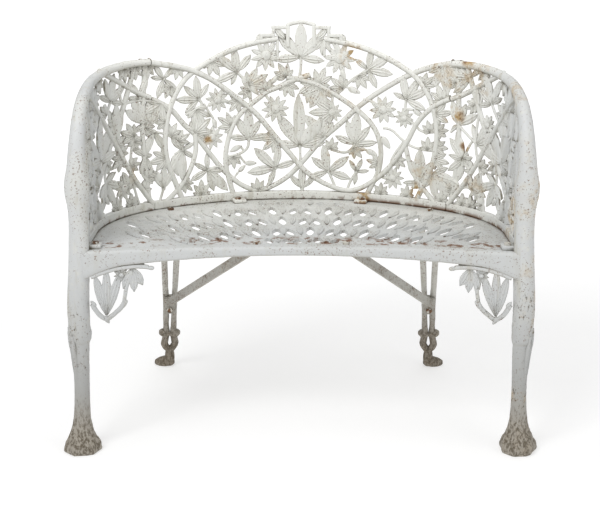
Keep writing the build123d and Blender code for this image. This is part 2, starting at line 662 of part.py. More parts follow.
def make_stay():
    """Right stay: ridged flat bar with a pad under the seat and an upright pad on the rear leg's boss."""
    back = (stay_seat * Pos(0, -BOSS[1] / 2 - STAY_THICK / 2, STAY_WIDTH / 2)).position
    pad_y = stay_bolt_y + STAY_PAD_LENGTH / 2 - STAY_PAD / 2
    front = Vector(STAY_FRONT_X + 6, pad_y + STAY_PAD / 2, plate_base - STAY_THICK)
    heading = (front - back).normalized()
    bar_plane = Plane(back, x_dir=heading.cross(Vector(0, 0, 1)), z_dir=heading)
    thin, wide = STAY_THICK / 2, STAY_WIDTH / 2
    ridge = thin * STAY_RIDGE
    profile = Polyline((-thin, -wide), (thin, -wide), (ridge, 0), (thin, wide), (-thin, wide), close=True)
    bar = extrude(bar_plane * make_face(profile), (front - back).length)
    pad = Pos(STAY_FRONT_X, pad_y, plate_base - STAY_THICK / 2) * Box(STAY_PAD, STAY_PAD_LENGTH, STAY_THICK)
    upright = stay_seat * Pos(0, -BOSS[1] / 2 - STAY_THICK / 2, 0) * Box(STAY_PAD, STAY_THICK, BOSS[2])
    above = Pos(front.X, front.Y, plate_base + STAY_PAD) * Box(*[2 * STAY_PAD] * 3)
    behind = stay_seat * Pos(0, BOSS[2] - BOSS[1] / 2, 0) * Box(*[2 * BOSS[2]] * 3)
    holes = [stay_front_bolt * bolt_hole(8 * STAY_THICK), stay_rear_bolt * bolt_hole(4 * BOSS[1])]
    return bar + [pad, upright] - [above, behind] - holes


def bracket_point(along, drop):
    """Point of the right bracket: along from the leg's inner face, drop below the seat."""
    return (leg_face - along, SEAT_HEIGHT - drop)


def ring_wall(inner, outer):
    """Upright wall along the hollow front, between two distances behind the apron's face."""
    half = math.degrees(math.asin(edge_x / front_radius))
    plan = sector(front_centre, front_radius + inner, front_radius + outer, 90 - half, 90 + half)
    return extrude(plan, SEAT_HEIGHT)


def make_bracket():
    """Right corner bracket: leaf fan, flower and curled stem under the apron, with a lug behind it."""
    curve = [(14, 142), (30, 118), (52, 97), (78, 76), (102, 55), (116, 46)]
    stem = band([bracket_point(*point) for point in curve], BRACKET_STEM)
    leaflets = [((16, 132), 96, 74, 18), ((16, 132), 118, 86, 20), ((18, 130), 70, 56, 14),
                ((20, 128), 148, 64, 19), ((72, 38), 272, 44, 14), ((92, 38), 262, 40, 13)]
    blades = [blade(bracket_point(*base), *shape) for base, *shape in leaflets]
    buds = [Pos(*bracket_point(*place)) * RegularPolygon(BRACKET_STEM, 8) for place in (curve[0], curve[-1])]
    reach = Pos(leg_face - BRACKET_REACH / 2, SEAT_HEIGHT) * Rectangle(BRACKET_REACH, 2 * SEAT_HEIGHT)
    strip = apron_elevation(FIT_GAP + BRACKET_STRIP) & reach
    flower = star_flower(bracket_point(54, 64), BRACKET_FLOWER)
    drawing = one_drawing([stem, strip] + blades + buds + flower) - apron_elevation(FIT_GAP)
    room = Pos(leg_face / 2, SEAT_HEIGHT / 2) * Rectangle(leg_face - 2 * FIT_GAP, SEAT_HEIGHT)
    body = face_cut(drawing & room) & ring_wall(BRACKET_INSET, BRACKET_INSET + BRACKET_THICK)
    under = APRON_SIDE_DROP + FIT_GAP
    back = APRON_THICK + FIT_GAP
    foot = Pos(screw_x, SEAT_HEIGHT - under - BRACKET_STRIP / 2) * Rectangle(BRACKET_LUG_WIDTH, BRACKET_STRIP)
    foot = foot - apron_elevation(FIT_GAP)
    tall = under + BRACKET_STRIP - PLATE_THICK - FIT_GAP
    riser = Pos(screw_x, plate_base - FIT_GAP - tall / 2) * Rectangle(BRACKET_LUG_WIDTH, tall)
    lug = face_cut(foot) & ring_wall(BRACKET_INSET, back + BRACKET_LUG_THICK)
    lug += face_cut(riser) & ring_wall(back, back + BRACKET_LUG_THICK)
    return body + lug - bracket_screw * bolt_hole(4 * BRACKET_LUG_THICK)


def group(fastener, places):
    """Separate copies of one fastener at places on the right, with their mirror images."""
    copies = both_sides([place * fastener for place in places])
    return Compound([solid for copy in copies for solid in copy.solids()])


# Seats of the fasteners on the right half, each with its head along +z
back_lug_bolt = Pos(LUG_X, lug_y, SEAT_HEIGHT + LUG_THICK)
corner_lug_bolt = Pos(SEAT_HALF_WIDTH - LUG_REACH / 2, CORNER_LUG_Y, SEAT_HEIGHT + LUG_THICK)
rear_leg_bolt = Pos(REAR_TOP_X, rear_top_y, SEAT_HEIGHT)
stay_front_bolt = Pos(STAY_FRONT_X, stay_bolt_y, SEAT_HEIGHT)
rear_lean = math.degrees(math.atan(REAR_SPLAY[1] / plate_base))
stay_seat = Pos(*rear_axis(STAY_HEIGHT)) * Rot(rear_lean, 0, 0)
stay_rear_bolt = stay_seat * Pos(0, -BOSS[1] / 2 - STAY_THICK, NUT_FLATS - BOSS[2] / 2) * Rot(90, 0, 0)
joint_bolts = [at_joint(rise) * Pos(-JOINT_GAP / 2 - EAR_THICK, 0, 0) * Rot(0, -90, 0) for rise in ear_rises]
screw_turn = math.degrees(math.asin(screw_x / front_radius))
screw_reach = apron_back + FIT_GAP + BRACKET_LUG_THICK
screw_plan = polar(front_centre, screw_reach, 90 - screw_turn)
bracket_screw = Pos(screw_plan[0], screw_plan[1], screw_rise) * Rot(0, 0, -screw_turn) * Rot(-90, 0, 0)

lug_grip = LUG_THICK + PLATE_THICK
joint_grip = 2 * EAR_THICK + JOINT_GAP
pad_grip = PLATE_THICK + REAR_PAD[2]
stay_front_grip = PLATE_THICK + STAY_THICK
stay_rear_grip = STAY_THICK + BOSS[1]
screw_grip = BRACKET_LUG_THICK + FIT_GAP

side_frame = make_side_frame()
bracket = make_bracket()
rear_leg = make_rear_leg()
stay = make_stay()
seat_bolts = [back_lug_bolt, corner_lug_bolt, rear_leg_bolt, stay_front_bolt]
screw_hole = bracket_screw * Pos(0, 0, -screw_grip) * bolt_hole(2 * SCREW_DEPTH + 1)

pieces = {
    "back_panel": make_back_panel(),
    "right_side_frame": side_frame,
    "left_side_frame": mirror(side_frame, about=Plane.YZ),
    "seat_plate": make_seat_plate(seat_bolts, screw_hole),
    "right_corner_bracket": bracket,
    "left_corner_bracket": mirror(bracket, about=Plane.YZ),
    "right_rear_leg": rear_leg,
    "left_rear_leg": mirror(rear_leg, about=Plane.YZ),
    "right_stay": stay,
    "left_stay": mirror(stay, about=Plane.YZ),
    "back_lug_bolts": group(through_bolt(lug_grip), [back_lug_bolt]),
    "back_lug_nuts": group(nut_under(lug_grip), [back_lug_bolt]),
    "corner_lug_bolts": group(through_bolt(lug_grip), [corner_lug_bolt]),
    "corner_lug_nuts": group(nut_under(lug_grip), [corner_lug_bolt]),
    "panel_joint_bolts": group(through_bolt(joint_grip), joint_bolts),
    "panel_joint_nuts": group(nut_under(joint_grip), joint_bolts),
    "rear_leg_bolts": group(through_bolt(pad_grip), [rear_leg_bolt]),
    "rear_leg_nuts": group(nut_under(pad_grip), [rear_leg_bolt]),
    "stay_front_bolts": group(through_bolt(stay_front_grip), [stay_front_bolt]),
    "stay_front_nuts": group(nut_under(stay_front_grip), [stay_front_bolt]),
    "stay_rear_bolts": group(through_bolt(stay_rear_grip), [stay_rear_bolt]),
    "stay_rear_nuts": group(nut_under(stay_rear_grip), [stay_rear_bolt]),
    "bracket_screws": group(headed_bolt(screw_grip, SCREW_DEPTH - 1), [bracket_screw]),
}

# The origin is on the floor under the middle of the seat's box
boxes = [piece.bounding_box() for piece in pieces.values()]
middle_y = (min(box.min.Y for box in boxes) + max(box.max.Y for box in boxes)) / 2
print("leg axes at y", round(-middle_y, 3))

os.makedirs("parts", exist_ok=True)
for name, piece in pieces.items():
    export_step(Pos(0, -middle_y, 0) * piece, f"parts/{name}.step")
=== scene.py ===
"""Looks of the cast iron garden seat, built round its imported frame."""

import logging
import math
from dataclasses import dataclass, replace
from enum import Enum
from typing import Callable, Iterable, Sequence

import bmesh
import bpy
from mathutils import Matrix, Vector, noise
from mathutils.geometry import intersect_point_line
from mathutils.kdtree import KDTree


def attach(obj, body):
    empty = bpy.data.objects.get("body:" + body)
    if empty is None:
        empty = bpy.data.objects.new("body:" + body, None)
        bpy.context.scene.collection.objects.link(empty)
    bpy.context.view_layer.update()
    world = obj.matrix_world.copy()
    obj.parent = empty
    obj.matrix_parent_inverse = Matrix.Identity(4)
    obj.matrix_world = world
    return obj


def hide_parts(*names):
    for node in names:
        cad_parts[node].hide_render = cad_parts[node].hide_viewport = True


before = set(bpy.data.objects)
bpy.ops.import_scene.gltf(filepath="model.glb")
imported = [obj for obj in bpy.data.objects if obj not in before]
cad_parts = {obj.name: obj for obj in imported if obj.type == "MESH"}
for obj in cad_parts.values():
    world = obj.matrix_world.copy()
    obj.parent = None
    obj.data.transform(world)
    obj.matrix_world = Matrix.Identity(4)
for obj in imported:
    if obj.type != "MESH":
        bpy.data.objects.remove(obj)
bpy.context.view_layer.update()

LOG = logging.getLogger("garden_seat")
MM = 0.001
BODY = "root"
# Vertex marks for painted shade with some grime in crevices and on side walls.
PAINTED_SHADE_AND_GRIME = "painted_shade_and_grime"

Spot = tuple[float, float]
Line = tuple[Spot, ...]
Place = tuple[float, float, float]
Station = tuple[Vector, float]
Mapping = Callable[[float, float, float], Vector]
Colour = tuple[float, float, float]
Socket = bpy.types.NodeSocket


class Side(Enum):
    """The two ends of the seat, seen from the front."""

    RIGHT = 1
    LEFT = -1


class Layer(Enum):
    """Middle depth of a strand of the openwork, in mm behind the inner face of its wall."""

    OVER = 3.6
    LEVEL = 5.4
    UNDER = 7.2


@dataclass(frozen=True)
class Plan:
    """Plan of the seat in mm, as the castings have it, before the move to the frame's origin."""

    half_width: float = 436.0
    back_depth: float = 446.0
    back_radius: float = 552.0
    side_radius: float = 256.0
    seat_height: float = 444.0
    leg_x: float = 456.0
    leg_line: float = -230.778
    front_hollow: float = 45.0
    front_reach: float = 20.0
    edge_x: float = 451.0

    @property
    def side_x(self) -> float:
        """Centre of the side bend across the seat."""
        return self.half_width - self.side_radius

    @property
    def back_y(self) -> float:
        """Centre of the back's bend along the seat."""
        return self.back_depth - self.back_radius

    @property
    def joint_turn(self) -> float:
        """Angle of the joint between the middle casting and a side casting."""
        return math.asin(self.side_x / (self.back_radius - self.side_radius))

    @property
    def side_y(self) -> float:
        """Centre of the side bend along the seat."""
        return self.back_y + (self.back_radius - self.side_radius) * math.cos(self.joint_turn)

    @property
    def joint_u(self) -> float:
        """Run of the inner face from the middle of the back to the joint."""
        return self.back_radius * self.joint_turn

    @property
    def side_arc(self) -> float:
        """Run of the bent part of a side wall."""
        return self.side_radius * (math.pi / 2 - self.joint_turn)

    @property
    def front_radius(self) -> float:
        """Radius of the hollow front edge."""
        return (self.edge_x ** 2 + self.front_hollow ** 2) / (2 * self.front_hollow)

    def world(self, x: float, y: float, z: float) -> Vector:
        """Point of the frame, in metres, from mm of the plan."""
        return Vector((x, y + self.leg_line, z)) * MM

    def on_wall(self, u: float, depth: float, rise: float) -> Vector:
        """Point of the back wall.

        Args:
            u: run along the inner face from the middle, to the right.
            depth: distance behind the inner face.
            rise: height over the seat.

        Returns:
            The point in the frame, in metres.
        """
        run = abs(u)
        side = math.copysign(1.0, u)
        if run <= self.joint_u:
            turn = run / self.back_radius
            x = (self.back_radius + depth) * math.sin(turn)
            y = self.back_y + (self.back_radius + depth) * math.cos(turn)
        else:
            past = run - self.joint_u
            turn = self.joint_turn + min(past, self.side_arc) / self.side_radius
            x = self.side_x + (self.side_radius + depth) * math.sin(turn)
            y = self.side_y + (self.side_radius + depth) * math.cos(turn) - max(past - self.side_arc, 0.0)
        return self.world(side * x, y, self.seat_height + rise)

    def on_front(self, x: float, depth: float, rise: float) -> Vector:
        """Point under the hollow front edge, by x, depth behind the apron's face and height over the seat."""
        radius = self.front_radius + depth
        y = self.front_hollow - self.front_reach - self.front_radius + math.sqrt(radius ** 2 - x ** 2)
        return self.world(x, y, self.seat_height + rise)


PLAN = Plan()


@dataclass(frozen=True)
class PaintFinish:
    """Old paint on cast iron: two tones, dirt near the floor, painted shade with some grime in crevices and
    on faces that point down, rust, bare metal near the floor.
    """

    name: str
    clean: Colour
    shaded: Colour
    cool: Colour = (0.62, 0.633, 0.632)
    splash: Colour = (0.32, 0.32, 0.305)
    grime: Colour = (0.085, 0.066, 0.038)
    # The next two colours are painted shade with some grime: in crevices and on faces that point down.
    crevice_shade_and_grime: Colour = (0.15, 0.13, 0.08)
    under: Colour = (0.40, 0.385, 0.33)
    rust: Colour = (0.17, 0.075, 0.03)
    stain: Colour = (0.52, 0.36, 0.17)
    streak: Colour = (0.50, 0.47, 0.38)
    bare: Colour = (0.36, 0.32, 0.26)
    # The next two shares set how strong that painted shade is.
    crevice_shade_and_grime_share: float = 0.9
    underside_shade_share: float = 0.7
    streak_share: float = 0.5
    splash_share: float = 0.85
    speck_level: float = 0.645
    joint_height: float = 0.444
    joint_rust: float = 0.0
    front_rust: float = 0.0
    stain_share: float = 0.0
    bare_top: float = 0.0
    bare_share: float = 0.0
    roughness: float = 0.5
    rust_spots: tuple[Colour, ...] = ()

    def material(self) -> bpy.types.Material:
        """Build the finish.

        Returns:
            A procedural material on Object coordinates.
        """
        made = bpy.data.materials.new(self.name)
        made.use_nodes = True
        graph = Graph(made)
        place = graph.add("ShaderNodeTexCoord").outputs["Object"]
        axes = graph.add("ShaderNodeSeparateXYZ", Vector=place).outputs
        broad = graph.noise(place, 7.0, 5.0, 0.6)
        patch = graph.noise(place, 42.0, 6.0, 0.62)
        fine = graph.noise(place, 260.0, 5.0, 0.65)
        colour = graph.mix(graph.ramp(axes["Y"], -0.12, 0.10), self.cool, self.clean)
        tone = graph.most(graph.ramp(broad, 0.42, 0.70), graph.ramp(patch, 0.52, 0.74))
        colour = graph.mix(graph.times(tone, 0.6), colour, self.shaded)
        upright = graph.add("ShaderNodeMapping", Vector=place)
        upright.inputs["Scale"].default_value = (58.0, 58.0, 8.0)
        runs = graph.ramp(graph.noise(upright.outputs["Vector"], 1.0, 5.0, 0.62), 0.54, 0.70)
        colour = graph.mix(graph.times(runs, self.streak_share), colour, self.streak)
        near_floor = graph.rest(graph.ramp(axes["Z"], 0.08, 0.46))
        colour = graph.mix(graph.times(near_floor, self.splash_share), colour, self.splash)
        # Painted shade with some grime in crevices, on marked side walls and on faces that point down.
        colour = self.painted_shade_and_grime(graph, colour, patch)
        if self.stain_share:
            spread = graph.plus(broad, graph.times(graph.ramp(axes["X"], -0.1, 0.3), 0.09))
            wet = graph.times(graph.ramp(spread, 0.60, 0.72), graph.ramp(patch, 0.44, 0.60))
            colour = graph.mix(graph.times(wet, self.stain_share), colour, self.stain)
        cluster = graph.times(graph.ramp(broad, 0.40, 0.62), 0.06)
        specks = graph.ramp(graph.plus(fine, cluster), self.speck_level, self.speck_level + 0.03)
        colour = graph.mix(graph.times(specks, 0.85), colour, self.rust)
        if self.rust_spots:
            colour = self.spots(graph, colour, axes, patch)
        if self.joint_rust:
            colour = self.joint(graph, colour, axes, patch)
        if self.front_rust:
            colour = self.border(graph, colour, axes, patch)
        worn = specks
        if self.bare_share:
            low = graph.rest(graph.ramp(axes["Z"], self.bare_top * 0.2, self.bare_top))
            low = graph.times(low, self.bare_share)
            stretched = graph.add("ShaderNodeMapping", Vector=place)
            stretched.inputs["Scale"].default_value = (210.0, 210.0, 95.0)
            crumbs = graph.noise(stretched.outputs["Vector"], 1.0, 6.0, 0.68)
            mottle = graph.ramp(graph.plus(crumbs, graph.times(low, 0.08)), 0.50, 0.68)
            stripped = graph.times(mottle, low)
            clumps = graph.times(graph.ramp(broad, 0.40, 0.60), 0.10)
            chips = graph.ramp(graph.plus(crumbs, clumps), 0.64, 0.70)
            chips = graph.times(chips, graph.ramp(near_floor, 0.0, 0.25))
            worn = graph.most(graph.most(specks, chips), stripped)
            colour = graph.mix(graph.times(low, 0.85), colour, self.bare)
            colour = graph.mix(graph.times(graph.most(stripped, chips), 0.85), colour, self.grime)
        rough = graph.plus(graph.times(patch, 0.28), self.roughness - 0.12)
        rough = graph.plus(rough, graph.times(worn, 0.25))
        grain = graph.plus(graph.times(fine, 0.35), graph.times(patch, 0.9))
        relief = graph.minus(grain, graph.times(worn, 0.5))
        bump = graph.add("ShaderNodeBump", Strength=0.4, Distance=0.0018, Height=relief)
        graph.finish(colour, rough, bump.outputs["Normal"])
        return made

    def painted_shade_and_grime(self, graph: "Graph", colour: object, patch: object) -> Socket:
        """Paint shade, with some grime, into crevices, onto the marked side walls and onto the sides that
        face down.
        """
        # Painted shade: ambient occlusion darkens crevices and recesses towards the crevice colour, with some
        # grime.
        hollow = graph.add("ShaderNodeAmbientOcclusion", Distance=0.012)
        hollow.samples = 8
        shut = graph.rest(graph.ramp(hollow.outputs["AO"], 0.26, 0.72))
        crevice_shade_and_grime = graph.times(shut, graph.ramp(patch, 0.30, 0.55))
        # The vertex marks add the same painted shade, with some grime, on side walls, leaflet sides and slot
        # walls.
        marks = graph.add("ShaderNodeAttribute")
        marks.attribute_name = PAINTED_SHADE_AND_GRIME
        level = graph.plus(marks.outputs["Fac"], graph.times(patch, 2.0))
        crevice_shade_and_grime = graph.most(crevice_shade_and_grime, graph.ramp(level, 1.66, 2.15))
        # Painted shade: faces that point down are darkened towards the under colour, with some grime.
        normal = graph.add("ShaderNodeNewGeometry").outputs["Normal"]
        facing = graph.add("ShaderNodeSeparateXYZ", Vector=normal).outputs["Z"]
        down = graph.ramp(graph.times(facing, -1.0), 0.10, 0.85)
        colour = graph.mix(graph.times(down, self.underside_shade_share), colour, self.under)
        return graph.mix(graph.times(crevice_shade_and_grime, self.crevice_shade_and_grime_share), colour, self.crevice_shade_and_grime)

    def spots(self, graph: "Graph", colour: object, axes: object, patch: object) -> Socket:
        """Rust that gathers round a few places of the front view, each given by x, z and reach in metres."""
        flat = graph.add("ShaderNodeCombineXYZ", X=axes["X"], Y=0.0, Z=axes["Z"]).outputs["Vector"]
        near: object = 0.0
        for x, z, reach in self.rust_spots:
            away = graph.tree.nodes.new("ShaderNodeVectorMath")
            away.operation = "DISTANCE"
            graph.feed(away.inputs[0], flat)
            away.inputs[1].default_value = (x, 0.0, z)
            inside = graph.rest(graph.ramp(away.outputs["Value"], reach * 0.3, reach))
            near = graph.most(inside, near)
        colour = graph.mix(graph.times(near, graph.ramp(patch, 0.40, 0.54)), colour, self.stain)
        return graph.mix(graph.times(near, graph.ramp(patch, 0.52, 0.62)), colour, self.rust)

    def joint(self, graph: "Graph", colour: object, axes: object, patch: object) -> Socket:
        """Rust along the joint of back and seat, worst to the right of the middle."""
        off = graph.math("ABSOLUTE", graph.minus(axes["Z"], self.joint_height), 0.0)
        near = graph.rest(graph.ramp(off, 0.001, 0.013))
        side = graph.times(graph.ramp(axes["X"], -0.05, 0.22), 0.13)
        streak = graph.times(near, graph.ramp(graph.plus(patch, side), 0.53, 0.66))
        behind = graph.times(streak, graph.ramp(axes["Y"], -0.18, -0.08))
        return graph.mix(graph.times(behind, self.joint_rust), colour, self.rust)

    def border(self, graph: "Graph", colour: object, axes: object, patch: object) -> Socket:
        """Rust in a band behind the hollow front edge."""
        bow = graph.times(graph.times(axes["X"], axes["X"]), 0.5 / (PLAN.front_radius * MM))
        edge = (PLAN.front_hollow - PLAN.front_reach + PLAN.leg_line) * MM
        behind = graph.minus(graph.plus(axes["Y"], bow), edge)
        inside = graph.times(graph.ramp(behind, 0.022, 0.032), graph.rest(graph.ramp(behind, 0.055, 0.10)))
        spots = graph.times(inside, graph.ramp(patch, 0.505, 0.60))
        return graph.mix(graph.times(spots, self.front_rust), colour, self.rust)


@dataclass(frozen=True)
class RustFinish:
    """Rusted fastener with remains of paint."""

    name: str
    dark: Colour = (0.07, 0.035, 0.02)
    bright: Colour = (0.20, 0.10, 0.045)
    paint: Colour = (0.62, 0.60, 0.54)
    paint_level: float = 0.47

    def material(self) -> bpy.types.Material:
        """Build the finish.

        Returns:
            A procedural material on Object coordinates.
        """
        made = bpy.data.materials.new(self.name)
        made.use_nodes = True
        graph = Graph(made)
        place = graph.add("ShaderNodeTexCoord").outputs["Object"]
        patch = graph.noise(place, 150.0, 6.0, 0.65)
        fine = graph.noise(place, 600.0, 5.0, 0.6)
        colour = graph.mix(graph.ramp(patch, 0.35, 0.65), self.dark, self.bright)
        left = graph.ramp(graph.noise(place, 70.0, 4.0, 0.6), self.paint_level, self.paint_level + 0.05)
        colour = graph.mix(left, colour, self.paint)
        rough = graph.plus(graph.times(fine, 0.25), 0.62)
        grain = graph.plus(graph.times(fine, 0.4), graph.times(patch, 0.8))
        bump = graph.add("ShaderNodeBump", Strength=0.5, Distance=0.0012, Height=grain)
        graph.finish(colour, rough, bump.outputs["Normal"])
        return made


class Graph:
    """Node tree of one material, with short ways to add to it."""

    def __init__(self, material: bpy.types.Material) -> None:
        """Take over a material's node tree."""
        self.tree = material.node_tree
        self.shader = self.tree.nodes["Principled BSDF"]

    def feed(self, socket: Socket, value: object) -> None:
        """Link an output to a socket, or set a plain value on it."""
        if isinstance(value, Socket):
            self.tree.links.new(value, socket)
        elif isinstance(value, tuple):
            socket.default_value = (*value, 1.0)
        else:
            socket.default_value = value

    def add(self, kind: str, **inputs: object) -> bpy.types.Node:
        """Add a node and feed its named inputs."""
        node = self.tree.nodes.new(kind)
        for name, value in inputs.items():
            self.feed(node.inputs[name], value)
        return node

    def noise(self, place: Socket, scale: float, detail: float, rough: float) -> Socket:
        """Noise of a scale per metre."""
        node = self.add("ShaderNodeTexNoise", Vector=place, Scale=scale, Detail=detail, Roughness=rough)
        return node.outputs["Fac"]

    def ramp(self, value: Socket, low: float, high: float) -> Socket:
        """Share of the way from low to high, kept between 0 and 1."""
        node = self.tree.nodes.new("ShaderNodeMapRange")
        node.interpolation_type = "SMOOTHSTEP"
        for name, number in (("Value", value), ("From Min", low), ("From Max", high)):
            self.feed(node.inputs[name], number)
        return node.outputs["Result"]

    def math(self, operation: str, first: object, second: object) -> Socket:
        """One step of arithmetic."""
        node = self.tree.nodes.new("ShaderNodeMath")
        node.operation = operation
        self.feed(node.inputs[0], first)
        self.feed(node.inputs[1], second)
        return node.outputs[0]

    def times(self, first: object, second: object) -> Socket:
        """Product of two values."""
        return self.math("MULTIPLY", first, second)

    def plus(self, first: object, second: object) -> Socket:
        """Sum of two values."""
        return self.math("ADD", first, second)

    def minus(self, first: object, second: object) -> Socket:
        """First value less the second."""
        return self.math("SUBTRACT", first, second)

    def rest(self, value: object) -> Socket:
        """What a value leaves of one."""
        return self.math("SUBTRACT", 1.0, value)

    def most(self, first: object, second: object) -> Socket:
        """Larger of two values."""
        return self.math("MAXIMUM", first, second)

    def mix(self, share: object, first: object, second: object) -> Socket:
        """Colour between two colours."""
        node = self.tree.nodes.new("ShaderNodeMix")
        node.data_type = "RGBA"
        self.feed(node.inputs[0], share)
        self.feed(node.inputs[6], first)
        self.feed(node.inputs[7], second)
        return node.outputs[2]

    def finish(self, colour: object, rough: object, normal: object) -> None:
        """Feed the shader."""
        self.feed(self.shader.inputs["Base Color"], colour)
        self.feed(self.shader.inputs["Roughness"], rough)
        self.feed(self.shader.inputs["Normal"], normal)


def keep(bm: bmesh.types.BMesh, name: str) -> bpy.types.Mesh:
    """Turn a bmesh into a mesh."""
    mesh = bpy.data.meshes.new(name)
    bm.to_mesh(mesh)
    bm.free()
    return mesh


def corners(geometry: Iterable[object]) -> list[bmesh.types.BMVert]:
    """The vertices among what an operator gives back."""
    return [item for item in geometry if isinstance(item, bmesh.types.BMVert)]


def heading(base: Spot, tip: Spot) -> float:
    """Angle of the line from base to tip."""
    return math.atan2(tip[1] - base[1], tip[0] - base[0])


def polar(base: Spot, reach: float, turn: float) -> Spot:
    """Spot at a reach and an angle from a base."""
    return (base[0] + reach * math.cos(turn), base[1] + reach * math.sin(turn))


def shifted(place: Place, x: float = 0.0, y: float = 0.0, z: float = 0.0) -> Place:
    """A place moved along the axes."""
    return (place[0] + x, place[1] + y, place[2] + z)


class Casting:
    """A mesh that grows from cast forms drawn in one space and is then bent into the frame."""

    sharp_turn = 48.0

    def __init__(self, name: str) -> None:
        """Start an empty casting."""
        self.name = name
        self.bm = bmesh.new()
        # Vertex marks for painted shade with some grime in crevices and on side walls.
        self.bm.verts.layers.float.new(PAINTED_SHADE_AND_GRIME)

    def take(self, mesh: bpy.types.Mesh, matrix: Matrix) -> list[bmesh.types.BMVert]:
        """Add a copy of a mesh.

        Args:
            mesh: the form to copy.
            matrix: where it goes.

        Returns:
            The copy's vertices.
        """
        start = len(self.bm.verts)
        self.bm.from_mesh(mesh)
        self.bm.verts.ensure_lookup_table()
        added = self.bm.verts[start:]
        bmesh.ops.transform(self.bm, matrix=matrix, verts=added)
        return added

    def absorb(self, mesh: bpy.types.Mesh, matrix: Matrix = Matrix.Identity(4)) -> list[bmesh.types.BMVert]:
        """Add a mesh and throw the mesh itself away.

        Args:
            mesh: a form that is not needed again.
            matrix: where it goes.

        Returns:
            The added vertices.
        """
        added = self.take(mesh, matrix)
        bpy.data.meshes.remove(mesh)
        return added

    def tube(self, stations: Sequence[Station], sides: int = 2, steps: int = 5, flat: float = 1.0) -> None:
        """Add a smooth round bar.

        Args:
            stations: points and radii along its middle line.
            sides: roundness of its section.
            steps: lengths between two stations.
            flat: share of the depth that is kept across y, about the first station.
        """
        mesh = tube_mesh(stations, sides, steps)
        centre = stations[0][0].y
        squeeze = Matrix.Translation((0, centre, 0)) @ Matrix.Diagonal((1, flat, 1, 1))
        self.absorb(mesh, squeeze @ Matrix.Translation((0, -centre, 0)))

    def block(self, low: Vector, high: Vector, edge: float, cuts: int = 0) -> None:
        """Add a box with rounded edges, cut along its length so that it can be bent."""
        bm = bmesh.new()
        bmesh.ops.create_cube(bm, size=1.0)
        size = high - low
        shape = Matrix.Translation((low + high) / 2) @ Matrix.Diagonal((*size, 1))
        bmesh.ops.transform(bm, matrix=shape, verts=bm.verts)
        bmesh.ops.bevel(bm, geom=bm.edges[:], offset=edge, offset_type="OFFSET", segments=3, profile=0.5,
                        affect="EDGES", material=-1)
        for cut in range(1, cuts):
            x = low.x + size.x * cut / cuts
            geometry = bm.verts[:] + bm.edges[:] + bm.faces[:]
            bmesh.ops.bisect_plane(bm, geom=geometry, plane_co=(x, 0, 0), plane_no=(1, 0, 0))
        self.absorb(keep(bm, "block"))

    def bend(self, mapping: Mapping) -> None:
        """Move every vertex from drawing space into the frame."""
        for vert in self.bm.verts:
            vert.co = mapping(*vert.co)

    def roughen(self, amount: float, scale: float) -> None:
        """Give the surface the slow unevenness of a casting; amount in metres, scale per metre."""
        self.bm.normal_update()
        moves = [vert.normal * (noise.noise(vert.co * scale) * amount) for vert in self.bm.verts]
        for vert, move in zip(self.bm.verts, moves):
            vert.co += move

    def cast(self, material: bpy.types.Material, slot: str, nodes: Iterable[str]) -> bpy.types.Object:
        """Make the piece.

        Args:
            material: its finish.
            slot: not used.
            nodes: the CAD nodes that it stands for.

        Returns:
            The object, riding on the frame.
        """
        bmesh.ops.recalc_face_normals(self.bm, faces=self.bm.faces[:])
        mesh = keep(self.bm, self.name)
        mesh.shade_smooth()
        mesh.set_sharp_from_angle(angle=math.radians(self.sharp_turn))
        mesh.materials.append(material)
        piece = bpy.data.objects.new(self.name, mesh)
        bpy.context.scene.collection.objects.link(piece)
        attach(piece, BODY)
        for node in nodes:
            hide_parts(node)
        LOG.info("%s: %d faces", self.name, len(mesh.polygons))
        return piece


def tube_mesh(stations: Sequence[Station], sides: int, steps: int) -> bpy.types.Mesh:
    """Smooth round bar through stations.

    Args:
        stations: points and radii.
        sides: roundness of the section.
        steps: lengths between two stations.

    Returns:
        A new mesh with closed ends.
    """
    curve = bpy.data.curves.new("bar", "CURVE")
    curve.dimensions = "3D"
    spline = curve.splines.new("NURBS")
    spline.points.add(len(stations) - 1)
    for point, (place, radius) in zip(spline.points, stations):
        point.co = (*place, 1.0)
        point.radius = radius
    spline.use_endpoint_u = True
    spline.order_u = min(3, len(stations))
    spline.resolution_u = steps
    curve.bevel_depth = 1.0
    curve.bevel_resolution = sides
    curve.use_fill_caps = True
    holder = bpy.data.objects.new("bar", curve)
    mesh = bpy.data.meshes.new_from_object(holder)
    bpy.data.objects.remove(holder)
    bpy.data.curves.remove(curve)
    return mesh


